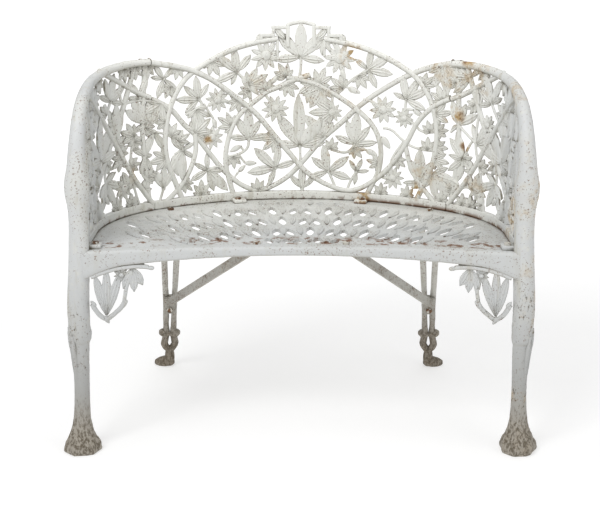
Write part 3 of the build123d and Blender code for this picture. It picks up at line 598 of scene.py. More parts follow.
class Forms:
    """Small cast forms that are used again and again: leaflet, bud and flower centre."""

    def __init__(self) -> None:
        """Model each form once."""
        self.leaflet = self.make_leaflet(4.2, 4.6)
        self.petal = self.make_leaflet(2.6, 4.0)
        self.bud = self.make_bud()
        self.disc = self.make_disc()

    @staticmethod
    def make_leaflet(rib: float, back: float) -> bpy.types.Mesh:
        """Ribbed leaflet from x = 0 to 1, one wide, with its front towards -y.

        Args:
            rib: height of its middle rib.
            back: depth of its flat back.

        Returns:
            The leaflet's mesh.
        """
        bm = bmesh.new()
        painted_shade_and_grime = bm.verts.layers.float.new(PAINTED_SHADE_AND_GRIME)
        bmesh.ops.create_grid(bm, x_segments=5, y_segments=6, size=0.5)
        profile = (1.0, 0.55, 0.85, 0.3)
        # Marks for painted shade with some grime: lanes beside the rib and along the edge, and the base of
        # the leaflet.
        shade_and_grime_lanes = (0.0, 0.24, 0.08, 0.74)
        for vert in bm.verts:
            share = vert.co.x + 0.5
            across = vert.co.y * 2
            lane = round(abs(across) * 3)
            half = 0.5 * max(math.sin(math.pi * min(share, 1.0) ** 1.12), 0.0) ** 0.75
            crown = rib * profile[lane] * (0.45 + 0.55 * math.sin(math.pi * min(0.2 + share * 0.75, 1.0)))
            vert[painted_shade_and_grime] = max(shade_and_grime_lanes[lane], 0.95 - 5.0 * share)
            vert.co = (share, -crown, across * (half + 0.05))
        # The leaflet's sides get painted shade with some grime, most on the front skirt.
        for depth, shrink, mark in ((0.35, 0.97, 1.0), (1.0, 0.84, 0.3)):
            rim = [edge for edge in bm.edges if edge.is_boundary]
            skirt = bmesh.ops.extrude_edge_only(bm, edges=rim)["geom"]
            for vert in corners(skirt):
                vert[painted_shade_and_grime] = mark
                vert.co = ((vert.co.x - 0.5) * shrink + 0.5, back * depth, vert.co.z * shrink)
        bmesh.ops.holes_fill(bm, edges=bm.edges[:], sides=0)
        bmesh.ops.recalc_face_normals(bm, faces=bm.faces[:])
        return keep(bm, "leaflet")

    @staticmethod
    def make_bud() -> bpy.types.Mesh:
        """Ribbed bud from x = 0 to 1, one wide."""
        bm = bmesh.new()
        bmesh.ops.create_uvsphere(bm, u_segments=12, v_segments=8, radius=0.5)
        bmesh.ops.rotate(bm, verts=bm.verts, matrix=Matrix.Rotation(math.pi / 2, 3, "Y"))
        for vert in bm.verts:
            turn = math.atan2(vert.co.z, vert.co.y)
            swell = (1 + 0.10 * math.cos(6 * turn)) * (1.15 - 0.55 * (vert.co.x + 0.5))
            vert.co = (vert.co.x + 0.5, vert.co.y * swell, vert.co.z * swell)
        return keep(bm, "bud")

    @staticmethod
    def make_disc() -> bpy.types.Mesh:
        """Domed flower centre with a sunk ring, front towards -y, of radius one."""
        bm = bmesh.new()
        bmesh.ops.create_uvsphere(bm, u_segments=14, v_segments=10, radius=1.0)
        bmesh.ops.rotate(bm, verts=bm.verts, matrix=Matrix.Rotation(math.pi / 2, 3, "X"))
        for vert in bm.verts:
            reach = math.hypot(vert.co.x, vert.co.z)
            ring = 0.14 * math.exp(-((reach - 0.62) / 0.13) ** 2) if vert.co.y < 0 else 0.0
            vert.co.y = vert.co.y * 0.45 + ring
        return keep(bm, "disc")


@dataclass(frozen=True)
class Leaf:
    """Palmate leaf of the openwork: its base and the tips of its leaflets, in mm of its wall."""

    base: Spot
    tips: Line

    @staticmethod
    def fan(base: Spot, tip: Spot) -> "Leaf":
        """Leaf of five leaflets round the line from base to tip."""
        length, middle = math.dist(base, tip), heading(base, tip)
        spread = ((0.0, 1.0), (0.72, 0.9), (-0.72, 0.9), (1.45, 0.66), (-1.45, 0.66))
        return Leaf(base, tuple(polar(base, length * share, middle + turn) for turn, share in spread))


@dataclass(frozen=True)
class Bud:
    """Bud of the openwork, from its stalk to its tip."""

    base: Spot
    tip: Spot


class Openwork(Casting):
    """Casting of vines, leaves, flowers and buds, drawn flat: x along, y behind the face, z up, in mm."""

    leaf_depth = 5.0
    leaf_slim = 0.35
    leaf_reach = 1.1
    leaf_widths = (10.5, 27.0)
    vine_width = 12.5
    stem_width = 6.8
    flatness = 0.86
    touch = 3.0
    # Depths of the strands' side walls that carry painted shade with some grime: none at the first, most at
    # the second.
    unmarked_depth = 3.4
    shade_and_grime_depth = 6.6
    sill = 26
    gap_grid = 8
    least_gap = 11.0
    least_sprig = 30.0
    most_sprigs = 160

    def __init__(self, name: str, forms: Forms) -> None:
        """Start an empty casting that uses the shared forms."""
        super().__init__(name)
        self.forms = forms

    def lay(self, mesh: bpy.types.Mesh, base: Spot, tip: Spot, width: float, depth: float, tilt: float = 0.0,
            thick: float = 1.0) -> None:
        """Lay a form along the line from base to tip.

        Args:
            mesh: the form, one long and one wide.
            base: where it starts.
            tip: where it ends.
            width: its width.
            depth: depth of its edge behind the face.
            tilt: how far its tip leans back, in radians.
            thick: stretch of its thickness.
        """
        length = math.dist(base, tip)
        turn = Matrix.Rotation(-heading(base, tip), 4, "Y") @ Matrix.Rotation(tilt, 4, "Z")
        place = Matrix.Translation((base[0], depth, base[1]))
        self.take(mesh, place @ turn @ Matrix.Diagonal((length, thick, width, 1)))

    def slab(self, side: Side, along: Spot, deep: Spot, up: Spot, edge: float, cuts: int = 0) -> None:
        """Add a block on one side of the middle, by its run, its depths and its heights."""
        low, high = sorted(side.value * end for end in along)
        self.block(Vector((low, deep[0], up[0])), Vector((high, deep[1], up[1])), edge, cuts)

    def leaf(self, leaf: Leaf) -> None:
        """Add a palmate leaf with a small boss at its base."""
        for index, tip in enumerate(leaf.tips):
            length = math.dist(leaf.base, tip)
            width = min(max(length * self.leaf_slim, self.leaf_widths[0]), self.leaf_widths[1])
            tilt = 0.05 * math.sin(1.7 * index + 0.05 * leaf.base[0])
            end = between(leaf.base, tip, self.leaf_reach)
            self.lay(self.forms.leaflet, leaf.base, end, width, self.leaf_depth + 0.3 * (index % 3), tilt)
        place = Matrix.Translation((leaf.base[0], self.leaf_depth, leaf.base[1]))
        self.take(self.forms.disc, place @ Matrix.Diagonal((5.5, 7.0, 5.5, 1)))

    def flower(self, centre: Spot, reach: float, petals: int = 10) -> None:
        """Add a star flower with a domed centre."""
        for petal in range(petals):
            turn = 2 * math.pi * petal / petals + 0.02 * centre[0]
            tip = polar(centre, reach, turn)
            tilt = 0.06 if petal % 2 else -0.05
            self.lay(self.forms.petal, centre, tip, reach * 0.33, self.leaf_depth - 0.4 * (petal % 2), tilt)
        dome = Matrix.Translation((centre[0], self.leaf_depth - 1.6, centre[1]))
        self.take(self.forms.disc, dome @ Matrix.Diagonal((reach * 0.32, 10.0, reach * 0.32, 1)))

    def bud(self, bud: Bud) -> None:
        """Add a ribbed bud."""
        width = max(math.dist(bud.base, bud.tip) * 0.52, 9.0)
        self.lay(self.forms.bud, bud.base, bud.tip, width, self.leaf_depth, 0.0, 9.0)

    def vine(self, line: Sequence[Spot], width: float, layer: Layer = Layer.LEVEL) -> None:
        """Add a round vine along a line."""
        stations = [(Vector((x, layer.value, z)), width / 2) for x, z in line]
        self.tube(stations, 2, 5, self.flatness)

    def grow(self, vines: Sequence[tuple[Line, Layer]], tendrils: Sequence[Line], leaves: Iterable[Leaf],
             flowers: Iterable[tuple[Spot, float]], buds: Iterable[Bud]) -> None:
        """Add all the growth of a wall.

        Args:
            vines: lines of the main vines with their layers.
            tendrils: lines of the thin stems.
            leaves: palmate leaves.
            flowers: centres and reaches of the flowers.
            buds: buds.
        """
        strands = self.strands = [line for line, _ in vines] + list(tendrils)
        for line, layer in vines:
            self.vine(line, self.vine_width, layer)
        for line in tendrils:
            self.vine(line, self.stem_width)
        for leaf in leaves:
            self.leaf(leaf)
            self.stalk(leaf.base, strands)
        for centre, reach in flowers:
            self.flower(centre, reach)
            self.stalk(centre, strands)
        for bud in buds:
            self.bud(bud)
            self.stalk(bud.base, strands)

    def stalk(self, place: Spot, strands: Sequence[Line]) -> None:
        """Tie a place to the nearest strand with a thin stem, unless it lies on one."""
        near = self.root(place, strands)
        if math.dist(near, place) > self.touch:
            self.vine((place, near), self.stem_width * 0.85)

    def root(self, place: Spot, strands: Sequence[Line]) -> Spot:
        """Nearest point of the strands to a place."""
        runs = (run for line in strands for run in zip(line, line[1:]))
        spots = (self.nearest(place, first, last) for first, last in runs)
        return min(spots, key=lambda spot: math.dist(spot, place))

    @staticmethod
    def nearest(place: Spot, first: Spot, last: Spot) -> Spot:
        """Nearest point of a straight run to a place."""
        _, share = intersect_point_line(Vector(place), Vector(first), Vector(last))
        return between(first, last, min(max(share, 0.0), 1.0))

    def fill(self, roof: Line, rims: Sequence[Line]) -> None:
        """Grow sprigs from the strands and rims into the widest gaps that are left.

        Args:
            roof: top of the wall, from its left end to its right end.
            rims: other lines that the sprigs may grow from.
        """
        tree = KDTree(len(self.bm.verts))
        for index, vert in enumerate(self.bm.verts):
            tree.insert((vert.co.x, 0.0, vert.co.z), index)
        tree.balance()
        columns = range(round(roof[0][0]), round(roof[-1][0]), self.gap_grid)
        spots = [(x, z) for x in columns for z in range(self.sill, round(height_at(roof, x)), self.gap_grid)]
        room = {spot: tree.find((spot[0], 0.0, spot[1]))[2] for spot in spots}
        for _ in range(self.most_sprigs):
            centre = max(spots, key=room.get)
            if room[centre] < self.least_gap:
                break
            marks = self.sprig(centre, room[centre], [*self.strands, *rims])
            for spot in spots:
                room[spot] = min(room[spot], min(math.dist(spot, mark) for mark in marks))

    def sprig(self, centre: Spot, reach: float, strands: Sequence[Line]) -> list[Spot]:
        """Grow five leaflets from the nearest strand into a gap.

        Args:
            centre: middle of the gap.
            reach: room round it.
            strands: lines to grow from.

        Returns:
            Points along the leaflets.
        """
        base = self.root(centre, strands)
        middle = heading(base, centre)
        length = max(math.dist(base, centre) + reach, self.least_sprig)
        marks = []
        for turn, share in ((0.0, 1.0), (0.62, 0.86), (-0.62, 0.86), (1.25, 0.62), (-1.25, 0.62)):
            along = Vector((math.cos(middle + turn), math.sin(middle + turn))) * length * share
            tip = (base[0] + along.x, base[1] + along.y)
            width = max(length * share * self.leaf_slim, self.leaf_widths[0])
            self.lay(self.forms.leaflet, base, tip, width, self.leaf_depth)
            marks += [between(base, tip, part / 5) for part in range(6)]
        return marks

    def bend(self, mapping: Mapping) -> None:
        """Mark the side walls for painted shade with some grime, then move every vertex into the frame."""
        painted_shade_and_grime = self.bm.verts.layers.float[PAINTED_SHADE_AND_GRIME]
        for vert in self.bm.verts:
            share = 1.0 - abs(vert.co.y - self.shade_and_grime_depth) / (self.shade_and_grime_depth - self.unmarked_depth)
            vert[painted_shade_and_grime] = max(vert[painted_shade_and_grime], share)
        super().bend(mapping)


def between(first: Spot, last: Spot, share: float) -> Spot:
    """Point on the way from one spot to another."""
    return (first[0] + (last[0] - first[0]) * share, first[1] + (last[1] - first[1]) * share)


def height_at(line: Line, x: float) -> float:
    """Height of a line over x, for a line that runs to the right."""
    first, last = next((run for run in zip(line, line[1:]) if run[1][0] >= x), (line[-2], line[-1]))
    return between(first, last, (x - first[0]) / (last[0] - first[0]))[1]


@dataclass(kw_only=True)
class BackCasting:
    """What the three castings of the back share: rail, bolting ears and seat lugs. Sizes in mm."""

    rail_rise: float = 20.0
    rail_thick: float = 15.0
    joint_gap: float = 0.3
    ear_rises: tuple[float, float] = (10.0, 339.0)
    ear_width: float = 8.0
    lug_half: float = 15.0
    grain: tuple[float, float] = (0.0005, 140.0)

    def ears(self, work: Openwork, side: Side, start: float) -> None:
        """Add the two bolting ears that begin at a run from the middle."""
        for rise in self.ear_rises:
            work.slab(side, (start, start + self.ear_width), (4.0, 37.0), (rise - 11, rise + 5), 1.6)

    def lug(self, work: Openwork, side: Side, middle: float, cuts: int = 0) -> None:
        """Add a lug that is bolted to the seat."""
        work.slab(side, (middle - self.lug_half, middle + self.lug_half), (-26.0, 6.0), (0.0, 8.0), 1.6, cuts)


@dataclass
class MiddleCasting(BackCasting):
    """Middle casting of the back: hoop, crest, rail, lugs, ears and openwork. Sizes in mm."""

    hoop_width: float = 13.5
    lobe_rounds: tuple[float, ...] = (7.4, 7.2, 6.9, 6.4)
    roof: Line = ((-350, 330), (-246, 306), (-207, 330), (-164, 350), (-117, 364), (0, 376), (117, 364),
                  (164, 350), (207, 332), (246, 306), (350, 334))
    crest_foot: float = 376.0
    crest_step: float = 411.0
    crest_eaves: float = 415.0
    crest_top: float = 420.0
    lug_u: float = 149.8
    hoop: Line = ((-285, 12), (-306, 64), (-321, 101), (-328, 146), (-322, 203), (-304, 254), (-275, 296),
                  (-241, 319), (-207, 337), (-164, 357), (-117, 371), (-71, 379), (-25, 382), (25, 382),
                  (71, 379), (117, 371), (164, 357), (207, 339), (241, 322), (276, 300), (304, 264),
                  (320, 225), (329, 180), (327, 146), (321, 108), (304, 64), (281, 12))
    vines: tuple[tuple[Line, Layer], ...] = (
        (((-359, 338), (-297, 327), (-246, 312), (-198, 285), (-121, 224), (-95, 199), (-60, 153), (-15, 100),
          (4, 75), (45, 44), (95, 24), (134, 24), (177, 51), (208, 80), (234, 116), (257, 153), (277, 199),
          (306, 230), (330, 248), (359, 260)), Layer.OVER),
        (((359, 339), (311, 330), (263, 311), (223, 289), (165, 251), (123, 215), (96, 186), (53, 149),
          (23, 112), (-24, 56), (-72, 27), (-108, 21), (-141, 37), (-172, 63), (-201, 97), (-252, 169),
          (-278, 190), (-304, 227), (-349, 254), (-359, 256)), Layer.UNDER),
        (((22, 298), (-22, 285), (-48, 270), (-78, 260), (-96, 245), (-123, 225), (-146, 205), (-161, 180),
          (-171, 150), (-177, 124), (-179, 93), (-170, 50), (-160, 16)), Layer.LEVEL),
        (((-33, 292), (6, 286), (41, 275), (76, 256), (111, 234), (143, 211), (167, 189), (183, 163),
          (192, 132), (192, 100), (186, 71), (174, 46), (160, 16)), Layer.LEVEL),
        (((-252, 169), (-248, 139), (-255, 106), (-274, 65), (-307, 30), (-330, 14)), Layer.LEVEL),
        (((248, 152), (256, 120), (268, 84), (296, 44), (330, 14)), Layer.LEVEL),
    )
    tendrils: tuple[Line, ...] = (
        ((-148, 306), (-137, 294), (-122, 276), (-115, 246), (-119, 227)),
        ((-241, 247), (-229, 236), (-245, 226), (-273, 213)),
        ((-122, 148), (-120, 128), (-146, 110), (-175, 108)), ((-59, 76), (-67, 53), (-82, 26)),
        ((-222, 79), (-208, 87), (-189, 86)), ((-211, 156), (-231, 150), (-248, 155)),
        ((-196, 243), (-187, 259), (-171, 266)), ((-284, 132), (-298, 159), (-320, 172)),
        ((-326, 299), (-310, 281), (-289, 272)), ((-59, 218), (-78, 245), (-85, 256)),
        ((-81, 343), (-70, 362), (-60, 380)),
        ((156, 313), (141, 304), (114, 286), (95, 262)), ((249, 249), (246, 222), (246, 206)),
        ((128, 136), (125, 128), (105, 111), (72, 122)), ((67, 69), (74, 53), (86, 26)),
        ((194, 222), (169, 244), (146, 244)),
        ((222, 62), (213, 94), (228, 127), (248, 152)), ((288, 58), (310, 73), (324, 86)),
        ((246, 206), (266, 200), (292, 172), (326, 182)), ((-1, 129), (0, 95), (2, 75), (5, 16)),
        ((195, 179), (215, 180), (240, 155), (277, 135), (322, 136)), ((74, 211), (72, 236), (76, 256)),
        ((90, 334), (84, 356), (70, 379)), ((0, 340), (2, 318), (-4, 290)),
        ((134, 70), (120, 52), (112, 24)), ((-334, 47), (-340, 30), (-346, 14)),
        ((156, 313), (168, 332), (190, 346)), ((-148, 306), (-170, 330), (-186, 346)),
    )
    leaves: tuple[Leaf, ...] = (
        Leaf((-148, 306), ((-189, 342), (-155, 359), (-118, 342), (-196, 287), (-162, 279))),
        Leaf((-241, 247), ((-292, 249), (-273, 277), (-247, 297), (-219, 279), (-271, 220))),
        Leaf((-122, 148), ((-123, 214), (-149, 196), (-97, 188), (-165, 155), (-72, 154))),
        Leaf((-59, 76), ((-105, 122), (-51, 126), (-16, 90), (-120, 67), (-74, 38))),
        Leaf((-222, 79), ((-224, 115), (-253, 97), (-189, 74), (-261, 59), (-208, 31), (-178, 31))),
        Leaf((-354, 182), ((-382, 132), (-329, 140))),
        Leaf((-284, 132), ((-310, 160), (-256, 146), (-255, 112), (-316, 86), (-288, 68))),
        Leaf((-326, 299), ((-347, 330), (-303, 322), (-356, 305), (-341, 260), (-297, 275))),
        Leaf((-334, 47), ((-358, 90), (-310, 86), (-332, 96))),
        Leaf((-1, 129), ((-5, 243), (-50, 198), (-57, 136), (46, 190), (53, 137))),
        Leaf((-1, 338), ((0, 412), (-50, 392), (50, 391), (-56, 334), (50, 331))),
        Leaf((5, 26), ((-22, 56), (4, 75), (33, 54))),
        Leaf((156, 313), ((163, 358), (203, 343), (211, 306), (176, 275), (128, 335))),
        Leaf((249, 249), ((240, 300), (275, 294), (299, 274), (294, 231), (220, 262))),
        Leaf((128, 136), ((132, 207), (110, 188), (161, 177), (86, 154), (177, 143))),
        Leaf((67, 69), ((55, 127), (30, 100), (111, 103), (116, 53), (23, 52))),
        Leaf((134, 70), ((118, 96), (162, 74), (130, 41), (146, 100))),
        Leaf((288, 58), ((260, 108), (288, 132), (312, 104), (251, 53))),
    )
    flowers: tuple[tuple[Spot, float], ...] = (
        ((-81, 343), 36), ((-196, 243), 29), ((-59, 218), 33), ((-211, 156), 29), ((90, 337), 38),
        ((194, 222), 33), ((246, 206), 24), ((74, 211), 25), ((222, 62), 28),
    )
    buds: tuple[Bud, ...] = (
        Bud((-134, 296), (-128, 270)), Bud((-119, 275), (-98, 252)), Bud((-142, 132), (-168, 119)),
        Bud((-131, 90), (-103, 89)), Bud((-147, 70), (-130, 86)), Bud((-68, 278), (-52, 298)),
        Bud((156, 124), (184, 113)), Bud((193, 158), (214, 131)), Bud((94, 311), (104, 288)),
        Bud((-303, 124), (-296, 72)), Bud((-272, 186), (-254, 172)), Bud((-338, 63), (-351, 90)),
        Bud((297, 55), (268, 43)), Bud((110, 269), (140, 258)), Bud((-206, 200), (-200, 176)),
        Bud((268, 226), (292, 214)),
    )

    def build(self, forms: Forms, finish: bpy.types.Material) -> bpy.types.Object:
        """Model the casting.

        Args:
            forms: the shared cast forms.
            finish: its paint.

        Returns:
            The piece that stands for the CAD back panel.
        """
        work = Openwork("middle_back_casting", forms)
        half = len(self.hoop) // 2 - 1
        for arm in ((*self.hoop[:half], (-54, 381)), ((54, 381), *self.hoop[-half:])):
            work.vine(arm, self.hoop_width, Layer.LEVEL)
        work.grow(self.vines, self.tendrils, self.leaves, self.flowers, self.buds)
        for line, layer in self.vines[:2]:
            lobe = [(Vector((x, layer.value, z)), radius) for (x, z), radius in zip(line, self.lobe_rounds)]
            work.tube(lobe, 3, 5, work.flatness)
        self.crest(work)
        end = PLAN.joint_u - self.joint_gap
        work.block(Vector((-end, 0.0, 0.0)), Vector((end, self.rail_thick, self.rail_rise)), 3.5, 56)
        work.fill(self.roof, (self.hoop, ((-end, self.rail_rise), (end, self.rail_rise))))
        for side in Side:
            self.lug(work, side, self.lug_u, 3)
            self.ears(work, side, end - self.ear_width)
        work.bend(PLAN.on_wall)
        work.roughen(*self.grain)
        return work.cast(finish, "painted_castings", ["back_panel"])

    def crest(self, work: Openwork) -> None:
        """Add the stepped crest: arch, posts, step bars, braces and tabs."""
        eaves, top, step = self.crest_eaves, self.crest_top, self.crest_step
        work.vine(((-31.0, eaves - 2), (-16.0, top - 3), (0.0, top), (16.0, top - 3), (31.0, eaves - 2)), 9.0)
        bars = ((26, 34.5, self.crest_foot - 14, eaves), (32, 68, step - 8, step), (60, 67, 379, step - 2),
                (62, 96, 385, 393), (88, 97, 374, 392), (51, 57, 340, self.crest_foot + 4))
        tabs = ((36, 380, 60, 405, 15), (68, 377, 90, 387, 11), (100, 371, 95, 393, 12))
        for side in Side:
            sign = side.value
            for x0, x1, z0, z1 in bars:
                work.slab(side, (x0, x1), (0.8, 10.4), (z0, z1), 2.0, 4)
            for x0, z0, x1, z1, width in tabs:
                work.lay(work.forms.leaflet, (sign * x0, z0), (sign * x1, z1), width, 5.0)


@dataclass
class SideCasting(BackCasting):
    """End casting: front leg, knuckle, arm, pierced side wall, lug and ears. Sizes in mm."""

    side: Side
    leaves: tuple[Leaf, ...]
    buds: tuple[Bud, ...]
    tendrils: tuple[Line, ...]
    vines: tuple[Line, ...]
    flowers: tuple[tuple[Spot, float], ...]
    wall_end: float = 722.0
    least_gap: float = 8.5
    leg_rounds: tuple[tuple[float, float, float], ...] = (
        (0, 465, 33), (2, 465, 36), (9, 465, 38), (19, 465, 36.5), (27, 465, 33), (35, 465, 29),
        (44, 464.5, 25), (56, 464, 21.5), (74, 463.5, 18.6), (104, 462, 16.6), (150, 460.5, 15.6),
        (200, 459.5, 16.6), (232, 459, 17.8), (244, 459, 18.2), (249, 459, 20.5), (256, 459, 22.4),
        (290, 460, 22.4), (318, 460, 23), (350, 458.5, 22.6), (400, 455, 21.8), (444, 453, 21),
        (490, 451.5, 19.6), (525, 451, 19.6), (550, 451.5, 22.5), (566, 452, 25), (582, 452, 25),
        (598, 451, 22.5), (612, 450, 20),
    )
    arm: tuple[tuple[float, float, float, float], ...] = (
        (720, 190, 13.5, 18.4), (714, 216, 12.5, 16.8), (702, 244, 11.5, 15.4), (684, 269, 10.5, 14.4),
        (656, 291, 9.5, 13.4), (612, 308, 8.5, 12.2), (560, 321, 7.4, 11.0), (500, 332, 6.6, 9.8),
        (440, 338, 5.8, 8.8), (400, 340, 5.5, 8.0), (361.2, 338.5, 5.5, 7.4),
    )
    bark: tuple[tuple[float, float, float, float], ...] = (
        (285, 460, 21, 3.0), (262, 459.5, 20.5, 5.5), (236, 459, 17.5, 5.0), (205, 459.5, 15.5, 4.0),
        (176, 460, 14, 2.0),
    )

    def build(self, forms: Forms, finish: bpy.types.Material) -> bpy.types.Object:
        """Model the casting.

        Args:
            forms: the shared cast forms.
            finish: its paint.

        Returns:
            The piece that stands for the CAD side frame.
        """
        name = self.side.name.lower()
        sign = self.side.value
        work = Openwork(f"{name}_side_casting", forms)
        work.least_gap = self.least_gap
        layers = (Layer.OVER, Layer.UNDER, Layer.LEVEL)
        vines = [(line, layers[index % 3]) for index, line in enumerate(self.vines)]
        work.grow(vines, self.tendrils, self.leaves, self.flowers, self.buds)
        start = PLAN.joint_u + self.joint_gap
        roof = tuple(sorted((sign * u, rise - radius) for u, rise, _, radius in self.arm[2:]))
        rail = ((sign * start, self.rail_rise), (sign * self.wall_end, self.rail_rise))
        work.slab(self.side, (start, self.wall_end), (0.0, self.rail_thick), (0.0, self.rail_rise), 3.5, 40)
        work.fill(roof, (roof, rail))
        self.ears(work, self.side, start)
        self.lug(work, self.side, PLAN.joint_u + PLAN.side_arc + PLAN.side_y - 22.0)
        work.bend(PLAN.on_wall)
        self.branch(work)
        work.roughen(*self.grain)
        return work.cast(finish, "painted_castings", [f"{name}_side_frame"])

    def branch(self, work: Openwork) -> None:
        """Add the leg, knuckle and arm as one branch, fluted at its foot and uneven like bark."""
        sign = self.side.value
        stations = [(PLAN.world(sign * x, 0.0, z), radius * MM) for z, x, radius in self.leg_rounds]
        stations += [(PLAN.on_wall(sign * u, depth, rise), radius * MM)
                     for u, rise, depth, radius in self.arm]
        start = len(work.bm.verts)
        work.tube(stations, 6, 6)
        work.bm.verts.ensure_lookup_table()
        foot_axis = PLAN.world(sign * self.leg_rounds[0][1], 0.0, 0.0)
        for vert in work.bm.verts[start:]:
            away = Vector((vert.co.x - foot_axis.x, vert.co.y - foot_axis.y, 0.0))
            foot = max(0.0, 1.0 - vert.co.z / 0.09)
            turn = math.atan2(away.y, away.x)
            flute = foot * (0.08 * math.cos(7 * turn + 0.4) + 0.04 * math.cos(3 * turn + 1.0))
            flute += foot * 0.08 * noise.noise(vert.co * 80)
            ragged = math.exp(-((vert.co.z - 0.262) / 0.03) ** 2)
            flute += ragged * (0.07 * noise.noise(vert.co * 55) + 0.04 * math.cos(5 * turn))
            if vert.co.z < 0.62:
                lump = 0.05 * noise.noise(Vector((vert.co.x * 22, vert.co.y * 22, vert.co.z * 9)))
                vert.co += away * (flute + lump)
            vert.co.z = max(vert.co.z, 0.0)
        for lean in (0.25, 0.95):
            out = Vector((sign * math.cos(lean), -math.sin(lean), 0.0)) * MM
            strip = [(PLAN.world(sign * x, 0.0, z - 20 * lean) + out * away, radius * MM)
                     for z, x, away, radius in self.bark]
            work.tube(strip, 2, 5)


@dataclass
class RearLeg:
    """Two-stemmed rear leg with pad, boss, knot, twisted loop and turned foot. Sizes in mm."""

    side: Side
    base_z: float = 436.0
    top_x: float = 300.0
    top_y: float = 337.4
    splay: tuple[float, float] = (30.0, 152.0)
    spread: float = 38.0
    boss_half: Place = (16.0, 9.5, 17.0)

    def axis(self, height: float) -> Place:
        """Middle line at a height, on the right."""
        share = 1 - height / self.base_z
        return (self.top_x + self.splay[0] * share, self.top_y + self.splay[1] * share, height)

    def build(self, finish: bpy.types.Material) -> bpy.types.Object:
        """Model the leg.

        Args:
            finish: its weathered paint.

        Returns:
            The piece that stands for the CAD rear leg.
        """
        name = self.side.name.lower()
        work = Casting(f"{name}_rear_leg_casting")
        top, boss, knot = self.axis(429.0), self.axis(190.0), self.axis(98.0)
        loop, ankle = self.axis(68.0), self.axis(34.0)
        heel = (ankle[0], ankle[1] + 4, 12.0)
        toe = (ankle[0] + 20, ankle[1] + 6, 9.5)
        tip = (toe[0] + 13, toe[1] + 2, 8.0)
        for way in (-1, 1):
            self.bar(work, (
                (shifted(top, way * self.spread / 2), 8.2), (shifted(self.axis(260.0), way * 13), 7.2),
                (shifted(boss, way * 9.8), 7.0), (shifted(self.axis(120.0), way * 9.8), 7.0),
                (shifted(knot, way * 8), 9.0), (shifted(loop, way * 12, -way * 3, 6), 8.6),
                (shifted(loop, way * 13.5, -way * 3, -4), 9.2), (shifted(ankle, way * 3, 0, 12), 8.6),
                (shifted(ankle, -way * 4, way * 3), 9.5), (heel, 11.0),
            ))
            lumps = ((8, -2, 0, 8.5), (15, -3, 1, 11.0), (21, -3, 2, 9.8), (26, -3, 2, 4.5))
            self.bar(work, [(shifted(knot, way * x, y, z), radius) for x, y, z, radius in lumps])
        band = ((-14, -5, -4, 5.0), (0, -8, -1, 6.4), (14, -5, 3, 5.0))
        self.bar(work, [(shifted(knot, x, y, z), radius) for x, y, z, radius in band])
        self.bar(work, ((shifted(heel, -10, 0, 2), 8.0), (heel, 15.5), (toe, 14.5), (tip, 10.5),
                        (shifted(tip, 6), 5.0)))
        self.box(work, Vector((top[0] - 31, top[1] - 15, 428.0)), Vector((top[0] + 31, top[1] + 15, 436.0)))
        lean = math.atan(self.splay[1] / self.base_z)
        frame_at = Matrix.Translation(Vector(boss)) @ Matrix.Rotation(lean, 4, "X")
        half = Vector(self.boss_half)
        self.box(work, -half, half, frame_at)
        work.bm.normal_update()
        for vert in work.bm.verts:
            bark = noise.noise(Vector((vert.co.x * 0.09, vert.co.y * 0.09, vert.co.z * 0.03))) * 1.1
            vert.co += vert.normal * bark * min(1.0, max(0.0, (420.0 - vert.co.z) / 60))
            vert.co.z = max(vert.co.z, 0.0)
        sign = self.side.value
        work.bend(lambda x, y, z: PLAN.world(sign * x, y, z))
        return work.cast(finish, "weathered_legs", [f"{name}_rear_leg"])

    @staticmethod
    def bar(work: Casting, stations: Sequence[tuple[Place, float]]) -> None:
        """Add a smooth stem."""
        work.tube([(Vector(place), radius) for place, radius in stations], 3, 6)

    @staticmethod
    def box(work: Casting, low: Vector, high: Vector, place: Matrix | None = None) -> None:
        """Add a rounded block, placed by a matrix."""
        start = len(work.bm.verts)
        work.block(low, high, 1.5)
        work.bm.verts.ensure_lookup_table()
        if place is not None:
            bmesh.ops.transform(work.bm, matrix=place, verts=work.bm.verts[start:])


